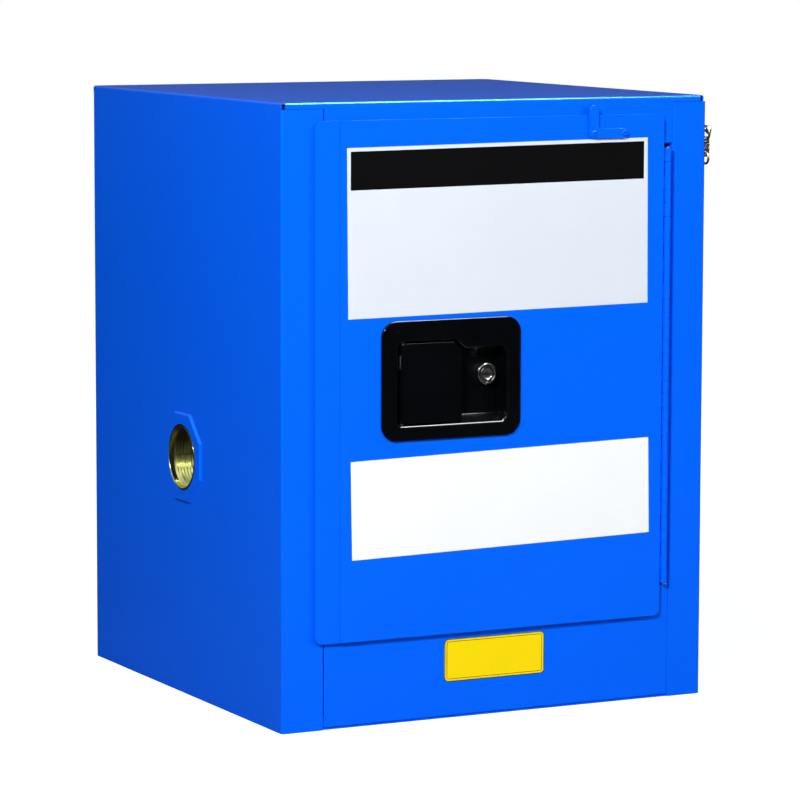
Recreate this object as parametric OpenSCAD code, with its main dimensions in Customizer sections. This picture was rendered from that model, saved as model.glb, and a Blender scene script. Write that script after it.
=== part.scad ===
// Countertop safety cabinet for bottled acids: a double-wall steel box with one self-closing door.
// Millimetres. +X is to the viewer's right, +Y goes back, +Z is up.
// The origin is the middle of the footprint, on the surface that the cabinet stands on.
// Names that end in _x, _y or _z are places in this frame, unless their comment says otherwise.

/* [Body] */
// Width over the side walls
body_w = 432; // [400:1:520]
// Depth from the front frame to the back
body_d = 426; // [380:1:520]
// Height over the top
body_h = 559; // [530:1:640]
// Thickness of the sheet steel
sheet_t = 1.2; // [0.8:0.1:1.5]
// Outside radius of the folded edges
bend_r = 2.4; // [1.8:0.1:3.4]
// Air space between the outer wall and the liner
air_gap = 38.1; // [30:0.1:42]
// Width of the left jamb, from the side wall to the opening
jamb_left_w = 41.8; // [38:0.1:50]
// Width of the right jamb, from the side wall to the opening
jamb_right_w = 35.5; // [35:0.1:50]
// Height of the opening's lower edge above the floor
sill_h = 107; // [92:1:116]
// Height of the strip above the opening
header_h = 43.7; // [42:0.1:50]
// Height of the top's front lip where it covers the jambs
lip_h = 5.5; // [4:0.5:10]
// Width of the relief notch at the upper left corners
notch_left_w = 4; // [3:0.5:8]
// Width of the relief notch at the upper right corners
notch_right_w = 6; // [3:0.5:8]
// Height of the front panel's lower edge above the floor
toe_gap = 2.5; // [1.5:0.1:6]
// Depth of the sill and header folds
frame_d = 38; // [36:0.5:44]
// Width of the flanges behind the back panel
back_flange_w = 15; // [10:1:24]

/* [Door] */
// How far the door covers the left jamb
overlap_left = 10.6; // [10.2:0.1:16]
// How far the door covers the sill
overlap_bottom = 28.5; // [12:0.5:40]
// How far the door covers the header
overlap_top = 27.6; // [12:0.1:30]
// Distance from the jambs to the door's front face
door_proud = 5; // [4.4:0.1:6]
// Radius of the door skin's corners
door_r = 6.5; // [4:0.5:12]
// Width of the set-back strip at the door's left edge
crease_w = 24.1; // [20:0.1:28]
// Depth of the set-back strip
crease_d = 1; // [0.4:0.1:1.4]
// Depth of the door skin's rolled edge
hem_d = 4; // [2.5:0.1:4.2]
// Depth of the inner pan behind the jamb plane
pan_d = 33; // [31:0.5:36]
// Clearance round the inner pan
pan_gap = 4; // [3:0.1:5]
// Set-back of the door stiffener from the door's right edge
stiffener_inset = 84; // [70:1:100]

/* [Hinge] */
// Length of the hinge
hinge_l = 403.2; // [360:0.1:403.2]
// Number of knuckles, both leaves together
knuckles = 32; // [16:2:40]
// Outside radius of a knuckle
knuckle_r = 3.15; // [3:0.05:3.3]
// Radius of the hinge pin
pin_r = 1.6; // [1.2:0.05:1.7]
// Thickness of the hinge leaves
leaf_t = 1.5; // [1.2:0.1:1.6]
// Width of the hinge leaves
leaf_w = 24; // [16:1:28]
// Distance from the opening's right edge to the pin
pin_inset = 7.3; // [7.2:0.1:9]
// Distance from the jambs to the pin
pin_proud = 4.5; // [4.3:0.1:4.8]
// Distance from the pin to the door skin's right edge
edge_to_pin = 4.6; // [4.2:0.1:6]
// Running clearance of a pin in its bore
run_gap = 0.05; // [0.03:0.01:0.09]

/* [Handle] */
// Distance from the door's left edge to the handle tray
tray_inset = 64.1; // [50:0.1:80]
// Height of the tray's middle above the floor
tray_mid_h = 310.3; // [280:0.1:330]
// Width of the tray's rim
tray_w = 140.2; // [138:0.1:160]
// Height of the tray's rim
tray_h = 107.7; // [104:0.1:112]
// Corner radius of the tray's rim
tray_r = 14.5; // [8:0.5:18]
// Thickness of the tray's rim on the door
rim_t = 2.5; // [1.5:0.1:3]
// Wall thickness of the tray
tray_t = 2; // [1.5:0.1:2.4]
// Depth of the tray's pocket from the rim's face
pocket_d = 16.5; // [15.5:0.1:17]
// Width of the pocket
pocket_w = 110.1; // [106:0.1:116]
// Height of the pocket at the paddle
pocket_h = 75; // [72:0.5:80]
// Width of the paddle
paddle_w = 60; // [52:0.5:64]
// Thickness of the paddle
paddle_t = 3; // [2.5:0.1:4]
// Clearance round the paddle
paddle_gap = 1.5; // [1:0.1:2.5]
// Radius of the paddle's pin
paddle_pin_r = 1.6; // [1.2:0.1:2]
// Greatest pull of the paddle, in degrees
paddle_turn = 35; // [25:1:35]

/* [Latch and lock] */
// Height of the bolt
bolt_h = 16; // [12:0.5:20]
// Thickness of the bolt
bolt_t = 5; // [4:0.5:6]
// How far the bolt reaches past the left edge of the opening
bolt_throw = 7; // [5:0.5:7.5]
// Travel of the bolt for a full pull of the paddle
bolt_travel = 10.08; // [8:0.01:11]
// Radius of the rod behind the bolt
rod_r = 2.5; // [2:0.1:3]
// Radius of the lock's barrel in front of the tray
lock_r = 8.8; // [8:0.05:9]
// Radius of the lock's bezel
collar_r = 9.8; // [9.2:0.05:11]
// Radius of the lock's plug
plug_r = 6.2; // [5:0.05:6.5]
// How far the lock stands out of the pocket's floor
lock_proud = 8; // [5:0.5:10]

/* [Hold-open link] */
// Length of the bracket's foot on the door
bracket_foot = 40.8; // [34:0.1:48]
// Length of the bracket's upright
bracket_up = 30.4; // [26:0.1:34]
// Width of the bracket's bar
bracket_w = 9.2; // [8:0.1:11]
// Thickness of the bracket's bar
bracket_t = 3.2; // [2.5:0.1:4]
// Distance from the opening's right edge to the bracket
bracket_inset = 91.7; // [80:0.1:110]
// Radius of the link's wire
wire_r = 1.1; // [0.9:0.05:1.2]
// Outside radius of the upper ring
ring_r = 7.5; // [6.5:0.1:8.5]
// Outside radius of the lower ring
lower_ring_r = 6; // [5.5:0.1:9]
// Distance between the holes of the fusible strip
strip_pitch = 12; // [12:0.5:20]
// Distance of the link from the front frame
link_back = 10; // [9:0.5:20]
// Distance of the rings' plane from the side wall
link_out = 6.2; // [5:0.1:8]
// Distance of the link's stud below the top
link_drop = 32.5; // [26:0.5:60]

/* [Vents] */
// Distance of the vents from the front frame
vent_back = 213; // [180:1:240]
// Height of the vents above the floor
vent_h = 222.5; // [190:0.5:240]
// Radius of the vent hole in the side wall
vent_hole_r = 31; // [30:0.1:32]
// Radius of the bung's bore
vent_bore_r = 28.3; // [26:0.1:29]
// Width of the eight-sided boss across its flats
boss_w = 80; // [78:0.5:88]
// Height of the boss
boss_h = 2.4; // [1.3:0.1:3]
// How far the boss's sloped sides spread
boss_slope = 2; // [0.5:0.1:3]
// Length of the bung behind the side wall
bung_l = 22; // [16:0.5:25]

/* [Shelf and trays] */
// Height of the shelf's sheet above the floor
shelf_h = 281; // [270:1:320]
// Height of the shelf's turned-up edge
shelf_lip = 14; // [10:1:25]
// Clearance of the shelf at the side walls
shelf_gap = 1.5; // [1:0.1:3]
// Pitch of the slots for the shelf clips
slot_pitch = 57; // [40:1:70]
// Distance of the clips from the middle of the depth
clip_y = 140; // [110:1:150]
// Wall thickness of the plastic trays
poly_t = 3; // [2:0.1:4]
// Height of the tray on the shelf
shelf_tray_h = 30; // [20:1:50]
// Height of the tray in the sump
sump_tray_h = 50; // [30:1:60]

/* [Labels] */
// Bare margin between the door's left edge and the upper label
upper_label_left = 30.2; // [16:0.1:60]
// Bare margin between the upper label and the door's right edge
upper_label_right = 17.6; // [12:0.1:60]
// Gap between the handle tray and the upper label
upper_label_clear = 3.4; // [2:0.1:12]
// Tilt of the upper label, in degrees
upper_label_tilt = 0.55; // [0:0.05:0.6]
// Bare margin between the door's left edge and the lower label
lower_label_left = 34.2; // [16:0.1:60]
// Bare margin between the lower label and the door's right edge
lower_label_right = 13.8; // [12:0.1:60]
// Height of the lower label
lower_label_h = 88.5; // [60:0.1:100]
// Distance between the handle tray and the lower label's upper left corner
lower_label_drop = 15.9; // [12:0.1:24]
// Tilt of the lower label, in degrees
lower_label_tilt = 1; // [0:0.05:1.4]
// Width of the label on the sill
sill_label_w = 102.7; // [60:0.1:140]
// Height of the label on the sill
sill_label_h = 38.9; // [20:0.1:50]
// Distance between the opening's left edge and the label on the sill
sill_label_left = 120.8; // [20:0.1:180]
// Distance between the door's lower edge and the label on the sill
sill_label_drop = 6.1; // [2:0.1:12]
// Thickness of the labels
label_t = 0.3; // [0.2:0.05:0.5]

/* [Hidden] */
$fn = 48;
eps = 0.01;

// Colours
blue = [0.04, 0.4, 1];
blue_inside = [0.1, 0.3, 0.75];
black = [0.06, 0.06, 0.07];
brass = [0.75, 0.6, 0.25];
steel = [0.7, 0.72, 0.75];
chrome = [0.85, 0.87, 0.9];
white_poly = [0.93, 0.94, 0.92];
label_white = [0.94, 0.96, 0.98];
label_yellow = [1, 0.88, 0.02];

// Outer faces of the body
left_x = -body_w / 2;
right_x = body_w / 2;
front_y = -body_d / 2;
back_y = body_d / 2;

// Depth of the relief notches, and the gap between the jambs and the top's lip
notch_left_d = 1.2;
notch_right_d = 4.5;
seam_gap = 0.3;

// The door opening
open_l = left_x + jamb_left_w;
open_r = right_x - jamb_right_w;
open_b = sill_h;
open_t = body_h - header_h;

// The liner: its inner faces
back_panel_y = back_y - 2 * sheet_t;
liner_back_y = back_panel_y - air_gap - sheet_t;
floor_z = sheet_t + air_gap + sheet_t;
ceiling_z = body_h - sheet_t - air_gap - sheet_t;
frame_y = front_y + frame_d;
return_y = front_y + frame_d - 6;

// The hinge axis, and the height of the hinge
axis_x = open_r - pin_inset;
axis_y = front_y - pin_proud;
hinge_z0 = (open_b + open_t - hinge_l) / 2 - 1.05;
hinge_z1 = hinge_z0 + hinge_l;
knuckle_l = hinge_l / knuckles;
knuckle_gap = 0.25;
knuckle_clear = 0.45;

// The door skin
door_l = open_l - overlap_left;
door_rt = axis_x - edge_to_pin;
door_b = open_b - overlap_bottom;
door_t = open_t + overlap_top;
door_y = front_y - door_proud;
skin_y = door_y + sheet_t;
crease_x = door_l + crease_w;
strip_y = door_y + crease_d;
leaf_y = skin_y + leaf_t;

// The inner pan
pan_l = open_l + pan_gap + 0.4;
pan_r = door_rt - 4.4;
pan_b = open_b + pan_gap;
pan_t = min(open_t - pan_gap, hinge_z1);
pan_y = front_y + pan_d;

// The handle tray and its pocket
pocket_left = 16.4;
pocket_low = 13.6;
tray_l = door_l + tray_inset;
tray_b = tray_mid_h - tray_h / 2;
tray_face_y = door_y - rim_t;
floor_y = tray_face_y + pocket_d;
tray_back_y = floor_y + tray_t;
pocket_l = tray_l + pocket_left;
pocket_r = pocket_l + pocket_w;
pocket_b = tray_b + pocket_low;
pocket_t = pocket_b + pocket_h;
pocket_step = 8;
pocket_chamfer = 5;
hinge_chamfer = 3;
cutout_gap = 0.5;
stud_inset = 6.5;
stud_r = 2;
stud_l = 8;
tray_nut_r = 3.6;
tray_nut_h = 3.2;

// The paddle and its pin
paddle_l = pocket_l + paddle_gap + 2.5;
paddle_rt = paddle_l + paddle_w;
paddle_b = pocket_b + paddle_gap;
paddle_top = pocket_t - paddle_gap;
paddle_y = tray_face_y + 1;
barrel_r = paddle_pin_r + 2.4;
pin_x = paddle_l + 3;
pin_y = paddle_y + paddle_t + 3;
crank_t = 4;
crank_h = 6;
crank_l = 18;

// The bolt
bolt_drop = 1.6;
bolt_z = tray_mid_h - bolt_drop;
bolt_y = pin_y + crank_l + 1.2;
bolt_l = open_l - bolt_throw;
bolt_bar_l = 105.4;
bolt_end = bolt_l + bolt_bar_l;
tab_x = pin_x + crank_t / 2 + 0.6;
tab_t = 5;
tab_l = 7;
spring_closed_l = 11.42;
rod_past = 6;
rod_l = spring_closed_l + bolt_travel + rod_past;
rod_end = bolt_end + rod_l;
rod_y = bolt_y + bolt_t / 2;
guide_gap = 0.3;
guide_t = 1.5;
guide_back = 20;
case_end = rod_end - rod_past;
case_l = pan_l + sheet_t + 11;
strike_clear = 2.2;
strike_h = bolt_h + 8;

// The lock
lock_left = 110.4;
lock_rise = 1.8;
lock_x = tray_l + lock_left;
lock_z = tray_mid_h + lock_rise;
lock_shank_r = 8;
lock_nut_h = 3;
bezel_t = 2.4;
key_t = 1.6;
key_w = 8;
lock_back_y = rod_y - 1.2;
cam_t = 2;
cam_w = 12;
cam_gap = 1.2;
cam_l = lock_x - rod_end - cam_gap;

// The hold-open bracket and the link
bracket_x = open_r - bracket_inset;
bracket_drop = 21.2;
bracket_z = door_t - bracket_drop;
screw_r = 1.5;
link_y = front_y + link_back;
stud_z = body_h - link_drop;
link_stud_r = 2;
link_x = right_x + link_out;
ring_z = stud_z + link_stud_r + 0.3 - (ring_r - 2 * wire_r);
strip_top_z = ring_z - ring_r + wire_r;
strip_low_z = strip_top_z - strip_pitch;
strip_hole_r = wire_r + 0.6;
strip_w = 8;
strip_t = 1.6;
strip_end = 3.6;
lower_z = strip_low_z - lower_ring_r + wire_r;

// The vents
vent_y = front_y + vent_back;
bung_plate_t = 4;
sleeve_r = 36;
arrester_r = 26;
liner_hole_r = 27;

// The shelf and its clips
clip_w = 20;
clip_t = 1.5;
clip_reach = 10;
clip_h = 14;
slot_w = 12;
slot_h = 3;
slot_rows = 3;
shelf_front_y = pan_y + 9;
shelf_back_y = liner_back_y - 3;
tray_clear = 3;

// The labels on the door: their upper left corners, and their sizes
label_gap = 0.2;
upper_label_l = door_l + upper_label_left;
upper_label_w = door_rt - upper_label_right - upper_label_l;
upper_label_t = bracket_z - label_gap - (bracket_x + bracket_foot - upper_label_l) * tan(upper_label_tilt);
upper_label_h = upper_label_t - tray_b - tray_h - upper_label_clear;
lower_label_l = door_l + lower_label_left;
lower_label_w = door_rt - lower_label_right - lower_label_l;
lower_label_t = tray_b - lower_label_drop;
sill_label_r = 4;

// ---------------------------------------------------------------- shared shapes

// A box between two corners
module span(x0, x1, y0, y1, z0, z1) {
    translate([x0, y0, z0])
        cube([x1 - x0, y1 - y0, z1 - z0]);
}

// A quarter of a bent edge, in the plane: its middle is at the origin, and it lies where x < 0 and y < 0
module bend_2d() {
    intersection() {
        difference() {
            circle(bend_r);
            circle(bend_r - sheet_t);
        }
        translate([-bend_r, -bend_r])
            square(bend_r);
    }
}

// A rectangle with round corners, from its lower left corner
module round_rect(w, h, r) {
    translate([r, 0])
        square([w - 2 * r, h]);
    translate([0, r])
        square([w, h - 2 * r]);
    for (x = [r, w - r], y = [r, h - r])
        translate([x, y])
            circle(r);
}

// Stands a plane shape drawn in x and z up, so that it fills y0 to y1
module stand_up(y0, y1) {
    translate([0, y1, 0])
        rotate([90, 0, 0])
            linear_extrude(y1 - y0)
                children();
}

// A rod along +X from x0 to x1
module rod_x(x0, x1, y, z, r, sides = 48) {
    translate([x0, y, z])
        rotate([0, 90, 0])
            cylinder(h = x1 - x0, r = r, $fn = sides);
}

// A rod along +Y from y0 to y1
module rod_y_dir(y0, y1, x, z, r, sides = 48) {
    translate([x, y0, z])
        rotate([-90, 0, 0])
            cylinder(h = y1 - y0, r = r, $fn = sides);
}

// A helical spring along +Z from z = 0, with 6 sides, as one unbroken tube
module helix(mean_r, wire, turns, length) {
    steps = 12;
    n = turns * steps;
    rise = (length - 2 * wire) / n;
    ring = [for (i = [0:n], k = [0:5])
        let (a = 360 * i / steps, b = 60 * k)
        [(mean_r + wire * cos(b)) * cos(a), (mean_r + wire * cos(b)) * sin(a),
         wire + rise * i + wire * sin(b)]];
    walls = [for (i = [0:n - 1], k = [0:5])
        let (p = 6 * i + k, q = 6 * i + (k + 1) % 6)
        [p, p + 6, q + 6, q]];
    first = [for (k = [0:5]) k];
    last = [for (k = [5:-1:0]) 6 * n + k];
    polyhedron(points = ring, faces = concat(walls, [first, last]), convexity = 10);
}

// ---------------------------------------------------------------- outer shell

// Plan of a side wall with its jamb and flanges: x inward from the wall, y back from the front
module side_plan(jamb_w) {
    translate([bend_r, bend_r])
        bend_2d();
    translate([0, bend_r])
        square([sheet_t, body_d - 2 * bend_r]);
    translate([bend_r, 0])
        square([jamb_w - 2 * bend_r, sheet_t]);
    translate([jamb_w - bend_r, bend_r])
        mirror([1, 0])
            bend_2d();
    translate([jamb_w - sheet_t, bend_r])
        square([sheet_t, frame_d - 6 - bend_r]);
    translate([bend_r, body_d - bend_r])
        mirror([0, 1])
            bend_2d();
    translate([bend_r, body_d - sheet_t])
        square([back_flange_w - bend_r, sheet_t]);
}

// Eight-sided prism across flats w, from x0 to x1 along X
module octagon_x(w, x0, x1) {
    translate([x0, 0, 0])
        rotate([0, 90, 0])
            rotate([0, 0, 22.5])
                cylinder(h = x1 - x0, d = w / cos(22.5), $fn = 8);
}

// Eight-sided boss with sloped sides: w0 across flats at x0, w1 at x1
module boss_x(w0, w1, x0, x1) {
    intersection_for(turn = [0:45:135])
        rotate([turn, 0, 0])
            translate([0, 0, -w1])
                linear_extrude(2 * w1)
                    polygon([[x0, -w0 / 2], [x1, -w1 / 2], [x1, w1 / 2], [x0, w0 / 2]]);
}

// The left side wall, with its outer face at x = 0 and its front at y = 0
module side_wall(jamb_w, notch_d) {
    top_z = body_h - lip_h;
    difference() {
        union() {
            linear_extrude(top_z - seam_gap)
                side_plan(jamb_w);
            span(0, sheet_t, notch_d, body_d - notch_d, top_z - seam_gap - eps, body_h - bend_r);
            translate([bend_r, body_d - notch_d, body_h - bend_r])
                rotate([90, 0, 0])
                    linear_extrude(body_d - 2 * notch_d)
                        mirror([0, 1])
                            bend_2d();
            translate([0, vent_back, vent_h])
                boss_x(boss_w, boss_w + 2 * boss_slope, -boss_h, sheet_t / 2);
        }
        translate([0, vent_back, vent_h]) {
            octagon_x(boss_w - 2 * sheet_t, sheet_t - boss_h, sheet_t + eps);
            rod_x(-boss_h - 1, sheet_t + 1, 0, 0, vent_hole_r, 96);
        }
    }
}

module outer_left_panel() {
    color(blue)
        difference() {
            translate([left_x, front_y, 0])
                side_wall(jamb_left_w, notch_left_d);
            // The bolt's way through the jamb, open to the front
            span(bolt_l - strike_clear, open_l + 1, front_y - 1, bolt_y + bolt_t + strike_clear,
                 bolt_z - strike_h / 2, bolt_z + strike_h / 2);
        }
}

module outer_right_panel() {
    color(blue)
        difference() {
            translate([right_x, front_y, 0])
                mirror([1, 0, 0])
                    side_wall(jamb_right_w, notch_right_d);
            rod_x(right_x - 5, right_x + 1, link_y, stud_z, link_stud_r + run_gap);
        }
}

// Section of a fold in y and z, with its corner at the origin and its two legs' lengths
module fold_yz(leg_y, leg_z) {
    translate([bend_r, bend_r])
        bend_2d();
    translate([bend_r, 0])
        square([leg_y - bend_r, sheet_t]);
    translate([0, bend_r])
        square([sheet_t, leg_z - bend_r]);
}

// Sweeps a section drawn in y and z along X
module sweep_x(x0, x1) {
    translate([x0, 0, 0])
        rotate([90, 0, 90])
            linear_extrude(x1 - x0)
                children();
}

module outer_top_panel() {
    color(blue)
        union() {
            // Front edge and lip over the jambs
            sweep_x(left_x + notch_left_w, right_x - notch_right_w)
                translate([front_y, body_h])
                    mirror([0, 1])
                        fold_yz(body_d / 2, lip_h);
            // Rear edge, and its flange between the walls' flanges
            sweep_x(left_x + notch_left_w, right_x - notch_right_w)
                translate([back_y, body_h])
                    rotate(180)
                        fold_yz(body_d / 2, lip_h);
            sweep_x(left_x + back_flange_w + seam_gap, right_x - back_flange_w - seam_gap)
                translate([back_y, body_h])
                    rotate(180)
                        fold_yz(body_d / 2, back_flange_w);
            span(left_x + bend_r, right_x - notch_right_w, front_y + notch_left_d, back_y - notch_left_d,
                 body_h - sheet_t, body_h);
            span(left_x + bend_r, right_x - bend_r, front_y + notch_right_d, back_y - notch_right_d,
                 body_h - sheet_t, body_h);
            // Header between the jambs, folded back under the opening's upper edge
            span(open_l, open_r, front_y, front_y + sheet_t, open_t + bend_r, body_h - bend_r);
            sweep_x(open_l, open_r)
                translate([front_y, open_t])
                    fold_yz(frame_d, bend_r + 1);
            span(open_l, open_r, frame_y - sheet_t, frame_y, open_t, ceiling_z);
        }
}

module outer_back_panel() {
    color(blue)
        span(left_x + bend_r, right_x - bend_r, back_panel_y, back_panel_y + sheet_t, 0, body_h - bend_r);
}

module outer_bottom_panel() {
    flange = 12;
    x0 = left_x + sheet_t;
    x1 = right_x - sheet_t;
    y0 = front_y + sheet_t;
    y1 = back_panel_y;
    color(blue)
        union() {
            span(x0, x1, return_y, y1, 0, sheet_t);
            span(open_l, open_r, y0, return_y + eps, 0, sheet_t);
            span(x0, x0 + sheet_t, return_y, y1, 0, flange);
            span(x1 - sheet_t, x1, return_y, y1, 0, flange);
            span(open_l, open_r, y0, y0 + sheet_t, 0, flange);
        }
}

// The front panel below the door, folded over into the sill and down to the floor of the liner
module sill_panel() {
    color(blue)
        union() {
            span(open_l, open_r, front_y, front_y + sheet_t, toe_gap, open_b - bend_r);
            sweep_x(open_l, open_r) {
                translate([front_y, open_b])
                    mirror([0, 1])
                        fold_yz(frame_d / 2, bend_r + 1);
                translate([frame_y, open_b])
                    rotate(180)
                        fold_yz(frame_d / 2, bend_r + 1);
            }
            span(open_l, open_r, frame_y - sheet_t, frame_y, floor_z, open_b - bend_r);
        }
}

// ---------------------------------------------------------------- liner

// Slots for the shelf clips in a side liner, in rows above and below the shelf
module clip_slots(x0, x1) {
    for (row = [-slot_rows:slot_rows], side = [-1, 1])
        span(x0, x1, side * clip_y - slot_w / 2, side * clip_y + slot_w / 2,
             shelf_h - clip_t - slot_h + row * slot_pitch, shelf_h - clip_t + row * slot_pitch);
}

module liner_wall(x0, x1) {
    color(blue_inside)
        difference() {
            span(x0, x1, return_y, liner_back_y, floor_z, ceiling_z);
            rod_x(x0 - 1, x1 + 1, vent_y, vent_h, liner_hole_r, 96);
            clip_slots(x0 - 1, x1 + 1);
        }
}

module liner_left() {
    liner_wall(open_l - sheet_t, open_l);
}

module liner_right() {
    liner_wall(open_r, open_r + sheet_t);
}

module liner_top() {
    color(blue_inside)
        span(open_l - sheet_t, open_r + sheet_t, frame_y - sheet_t, liner_back_y + sheet_t,
             ceiling_z, ceiling_z + sheet_t);
}

module liner_back() {
    color(blue_inside)
        span(open_l - sheet_t, open_r + sheet_t, liner_back_y, liner_back_y + sheet_t, floor_z, ceiling_z);
}

module liner_floor() {
    color(blue_inside)
        span(open_l - sheet_t, open_r + sheet_t, frame_y - sheet_t, liner_back_y + sheet_t,
             floor_z - sheet_t, floor_z);
}

// ---------------------------------------------------------------- vents, drawn on the left wall from x = 0

// Places a vent part on the left wall, or mirrors it onto the right one
module on_side(side) {
    mirror([side > 0 ? 1 : 0, 0, 0])
        translate([left_x, vent_y, vent_h])
            children();
}

bung_x = sheet_t - boss_h;

module vent_bung() {
    color(brass)
        difference() {
            union() {
                octagon_x(boss_w - 2 * sheet_t - 2, bung_x, bung_x + bung_plate_t);
                rod_x(-boss_h - 0.2, bung_x + eps, 0, 0, vent_hole_r - 0.3, 96);
                rod_x(bung_x + eps, bung_l, 0, 0, vent_bore_r + 4, 96);
            }
            rod_x(-boss_h - 1, bung_l + 1, 0, 0, vent_bore_r, 96);
        }
}

// The tube that closes the air space round a vent; depth is the distance from the side wall to the liner
module vent_sleeve(depth) {
    color(steel)
        difference() {
            rod_x(bung_x + bung_plate_t, depth, 0, 0, sleeve_r, 96);
            rod_x(bung_x, depth + 1, 0, 0, sleeve_r - sheet_t, 96);
        }
}

// Screened cartridge behind the bung: a collar, a cup and two crossed grids
module flame_arrester(depth) {
    cup_x = bung_l + 3;
    cup_end = depth - 0.4;
    bar = 1;
    pitch = 6;
    color([0.35, 0.33, 0.3]) {
        difference() {
            union() {
                rod_x(bung_l, cup_x, 0, 0, sleeve_r - sheet_t - 0.3, 96);
                rod_x(cup_x - eps, cup_end, 0, 0, arrester_r, 96);
            }
            rod_x(bung_l - 1, cup_end + 1, 0, 0, arrester_r - sheet_t, 96);
        }
        for (x = [bung_l + 0.5, cup_end - 1.5])
            intersection() {
                rod_x(x, x + bar, 0, 0, arrester_r - sheet_t / 2, 96);
                union()
                    for (k = [-4:4]) {
                        span(x - 1, x + 3, k * pitch - bar / 2, k * pitch + bar / 2, -arrester_r, arrester_r);
                        span(x - 1, x + 3, -arrester_r, arrester_r, k * pitch - bar / 2, k * pitch + bar / 2);
                    }
            }
    }
}

module vent_bung_left() {
    on_side(-1)
        vent_bung();
}

module vent_bung_right() {
    on_side(1)
        vent_bung();
}

module vent_sleeve_left() {
    on_side(-1)
        vent_sleeve(jamb_left_w - sheet_t);
}

module vent_sleeve_right() {
    on_side(1)
        vent_sleeve(jamb_right_w - sheet_t);
}

module flame_arrester_left() {
    on_side(-1)
        flame_arrester(jamb_left_w - sheet_t);
}

module flame_arrester_right() {
    on_side(1)
        flame_arrester(jamb_right_w - sheet_t);
}

// ---------------------------------------------------------------- strike

strike_x = open_l - sheet_t;
strike_margin = 12;
strike_nut_r = 3.2;
strike_nut_h = 2.4;
strike_back_y = return_y - 1;
strike_screw_y = (front_y + bend_r + strike_back_y) / 2 - 3;

// Hardened plate behind the jamb's fold, with the same opening as the fold
module strike_plate() {
    z0 = bolt_z - strike_h / 2;
    z1 = bolt_z + strike_h / 2;
    color(steel)
        difference() {
            span(strike_x - leaf_t, strike_x, front_y + bend_r + 0.3, strike_back_y,
                 z0 - strike_margin, z1 + strike_margin);
            span(strike_x - leaf_t - 1, strike_x + 1, front_y, bolt_y + bolt_t + strike_clear, z0, z1);
        }
}

// Two nuts that hold the strike plate to the fold
module strike_nuts() {
    color(steel)
        for (z = [bolt_z - strike_h / 2 - strike_margin / 2, bolt_z + strike_h / 2 + strike_margin / 2])
            rod_x(strike_x - leaf_t - strike_nut_h, strike_x - leaf_t, strike_screw_y, z, strike_nut_r, 6);
}

// ---------------------------------------------------------------- hinge

// Knuckle i counted from the top: its two ends
function knuckle_hi(i) = hinge_z1 - i * knuckle_l;
function knuckle_lo(i) = hinge_z1 - (i + 1) * knuckle_l + knuckle_gap;

// One leaf's barrels, and the arms that join them to it; first is 0 for the door and 1 for the frame
module knuckle_row(first) {
    for (i = [first:2:knuckles - 1])
        translate([0, 0, knuckle_lo(i)])
            linear_extrude(knuckle_hi(i) - knuckle_lo(i)) {
                circle(knuckle_r);
                children();
            }
}

module hinge_bore() {
    translate([0, 0, hinge_z0 - 1])
        cylinder(h = hinge_l + 2, r = pin_r + run_gap, $fn = 32);
}

module hinge_frame_leaf() {
    reach = pin_inset;
    bend_y = pin_proud + bend_r;
    color(blue)
        translate([axis_x, axis_y, 0])
            difference() {
                union() {
                    translate([0, 0, hinge_z0])
                        linear_extrude(hinge_l)
                            polygon([[knuckle_r - leaf_t, knuckle_r + knuckle_clear + 0.6],
                                     [knuckle_r, knuckle_r + knuckle_clear + 0.6],
                                     [reach, bend_y],
                                     [reach, bend_y + leaf_w],
                                     [reach - leaf_t, bend_y + leaf_w],
                                     [reach - leaf_t, bend_y + 0.9],
                                     [knuckle_r - leaf_t, knuckle_r + knuckle_clear + 1.6]]);
                    knuckle_row(1)
                        translate([knuckle_r - leaf_t, 0])
                            square([leaf_t, knuckle_r + knuckle_clear + 1]);
                }
                hinge_bore();
            }
}

module hinge_door_leaf() {
    y0 = skin_y - axis_y;
    color(blue)
        translate([axis_x, axis_y, 0])
            difference() {
                union() {
                    translate([0, 0, hinge_z0])
                        linear_extrude(hinge_l)
                            translate([-leaf_w, y0])
                                square([leaf_w - knuckle_r - knuckle_clear, leaf_t]);
                    knuckle_row(0)
                        translate([-knuckle_r - knuckle_clear - 0.2, y0])
                            square([knuckle_clear + 1.2, leaf_t]);
                }
                hinge_bore();
            }
}

// One pin runs through all the knuckles
module hinge_pin() {
    color(steel)
        translate([axis_x, axis_y, hinge_z0 - 1])
            cylinder(h = hinge_l + 2, r = pin_r, $fn = 32);
}

// ---------------------------------------------------------------- door

// Outline of the door skin in x and z, drawn in by inset
module door_outline(inset) {
    translate([door_l + inset, door_b + inset])
        round_rect(door_rt - door_l - 2 * inset, door_t - door_b - 2 * inset, door_r - inset);
}

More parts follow.
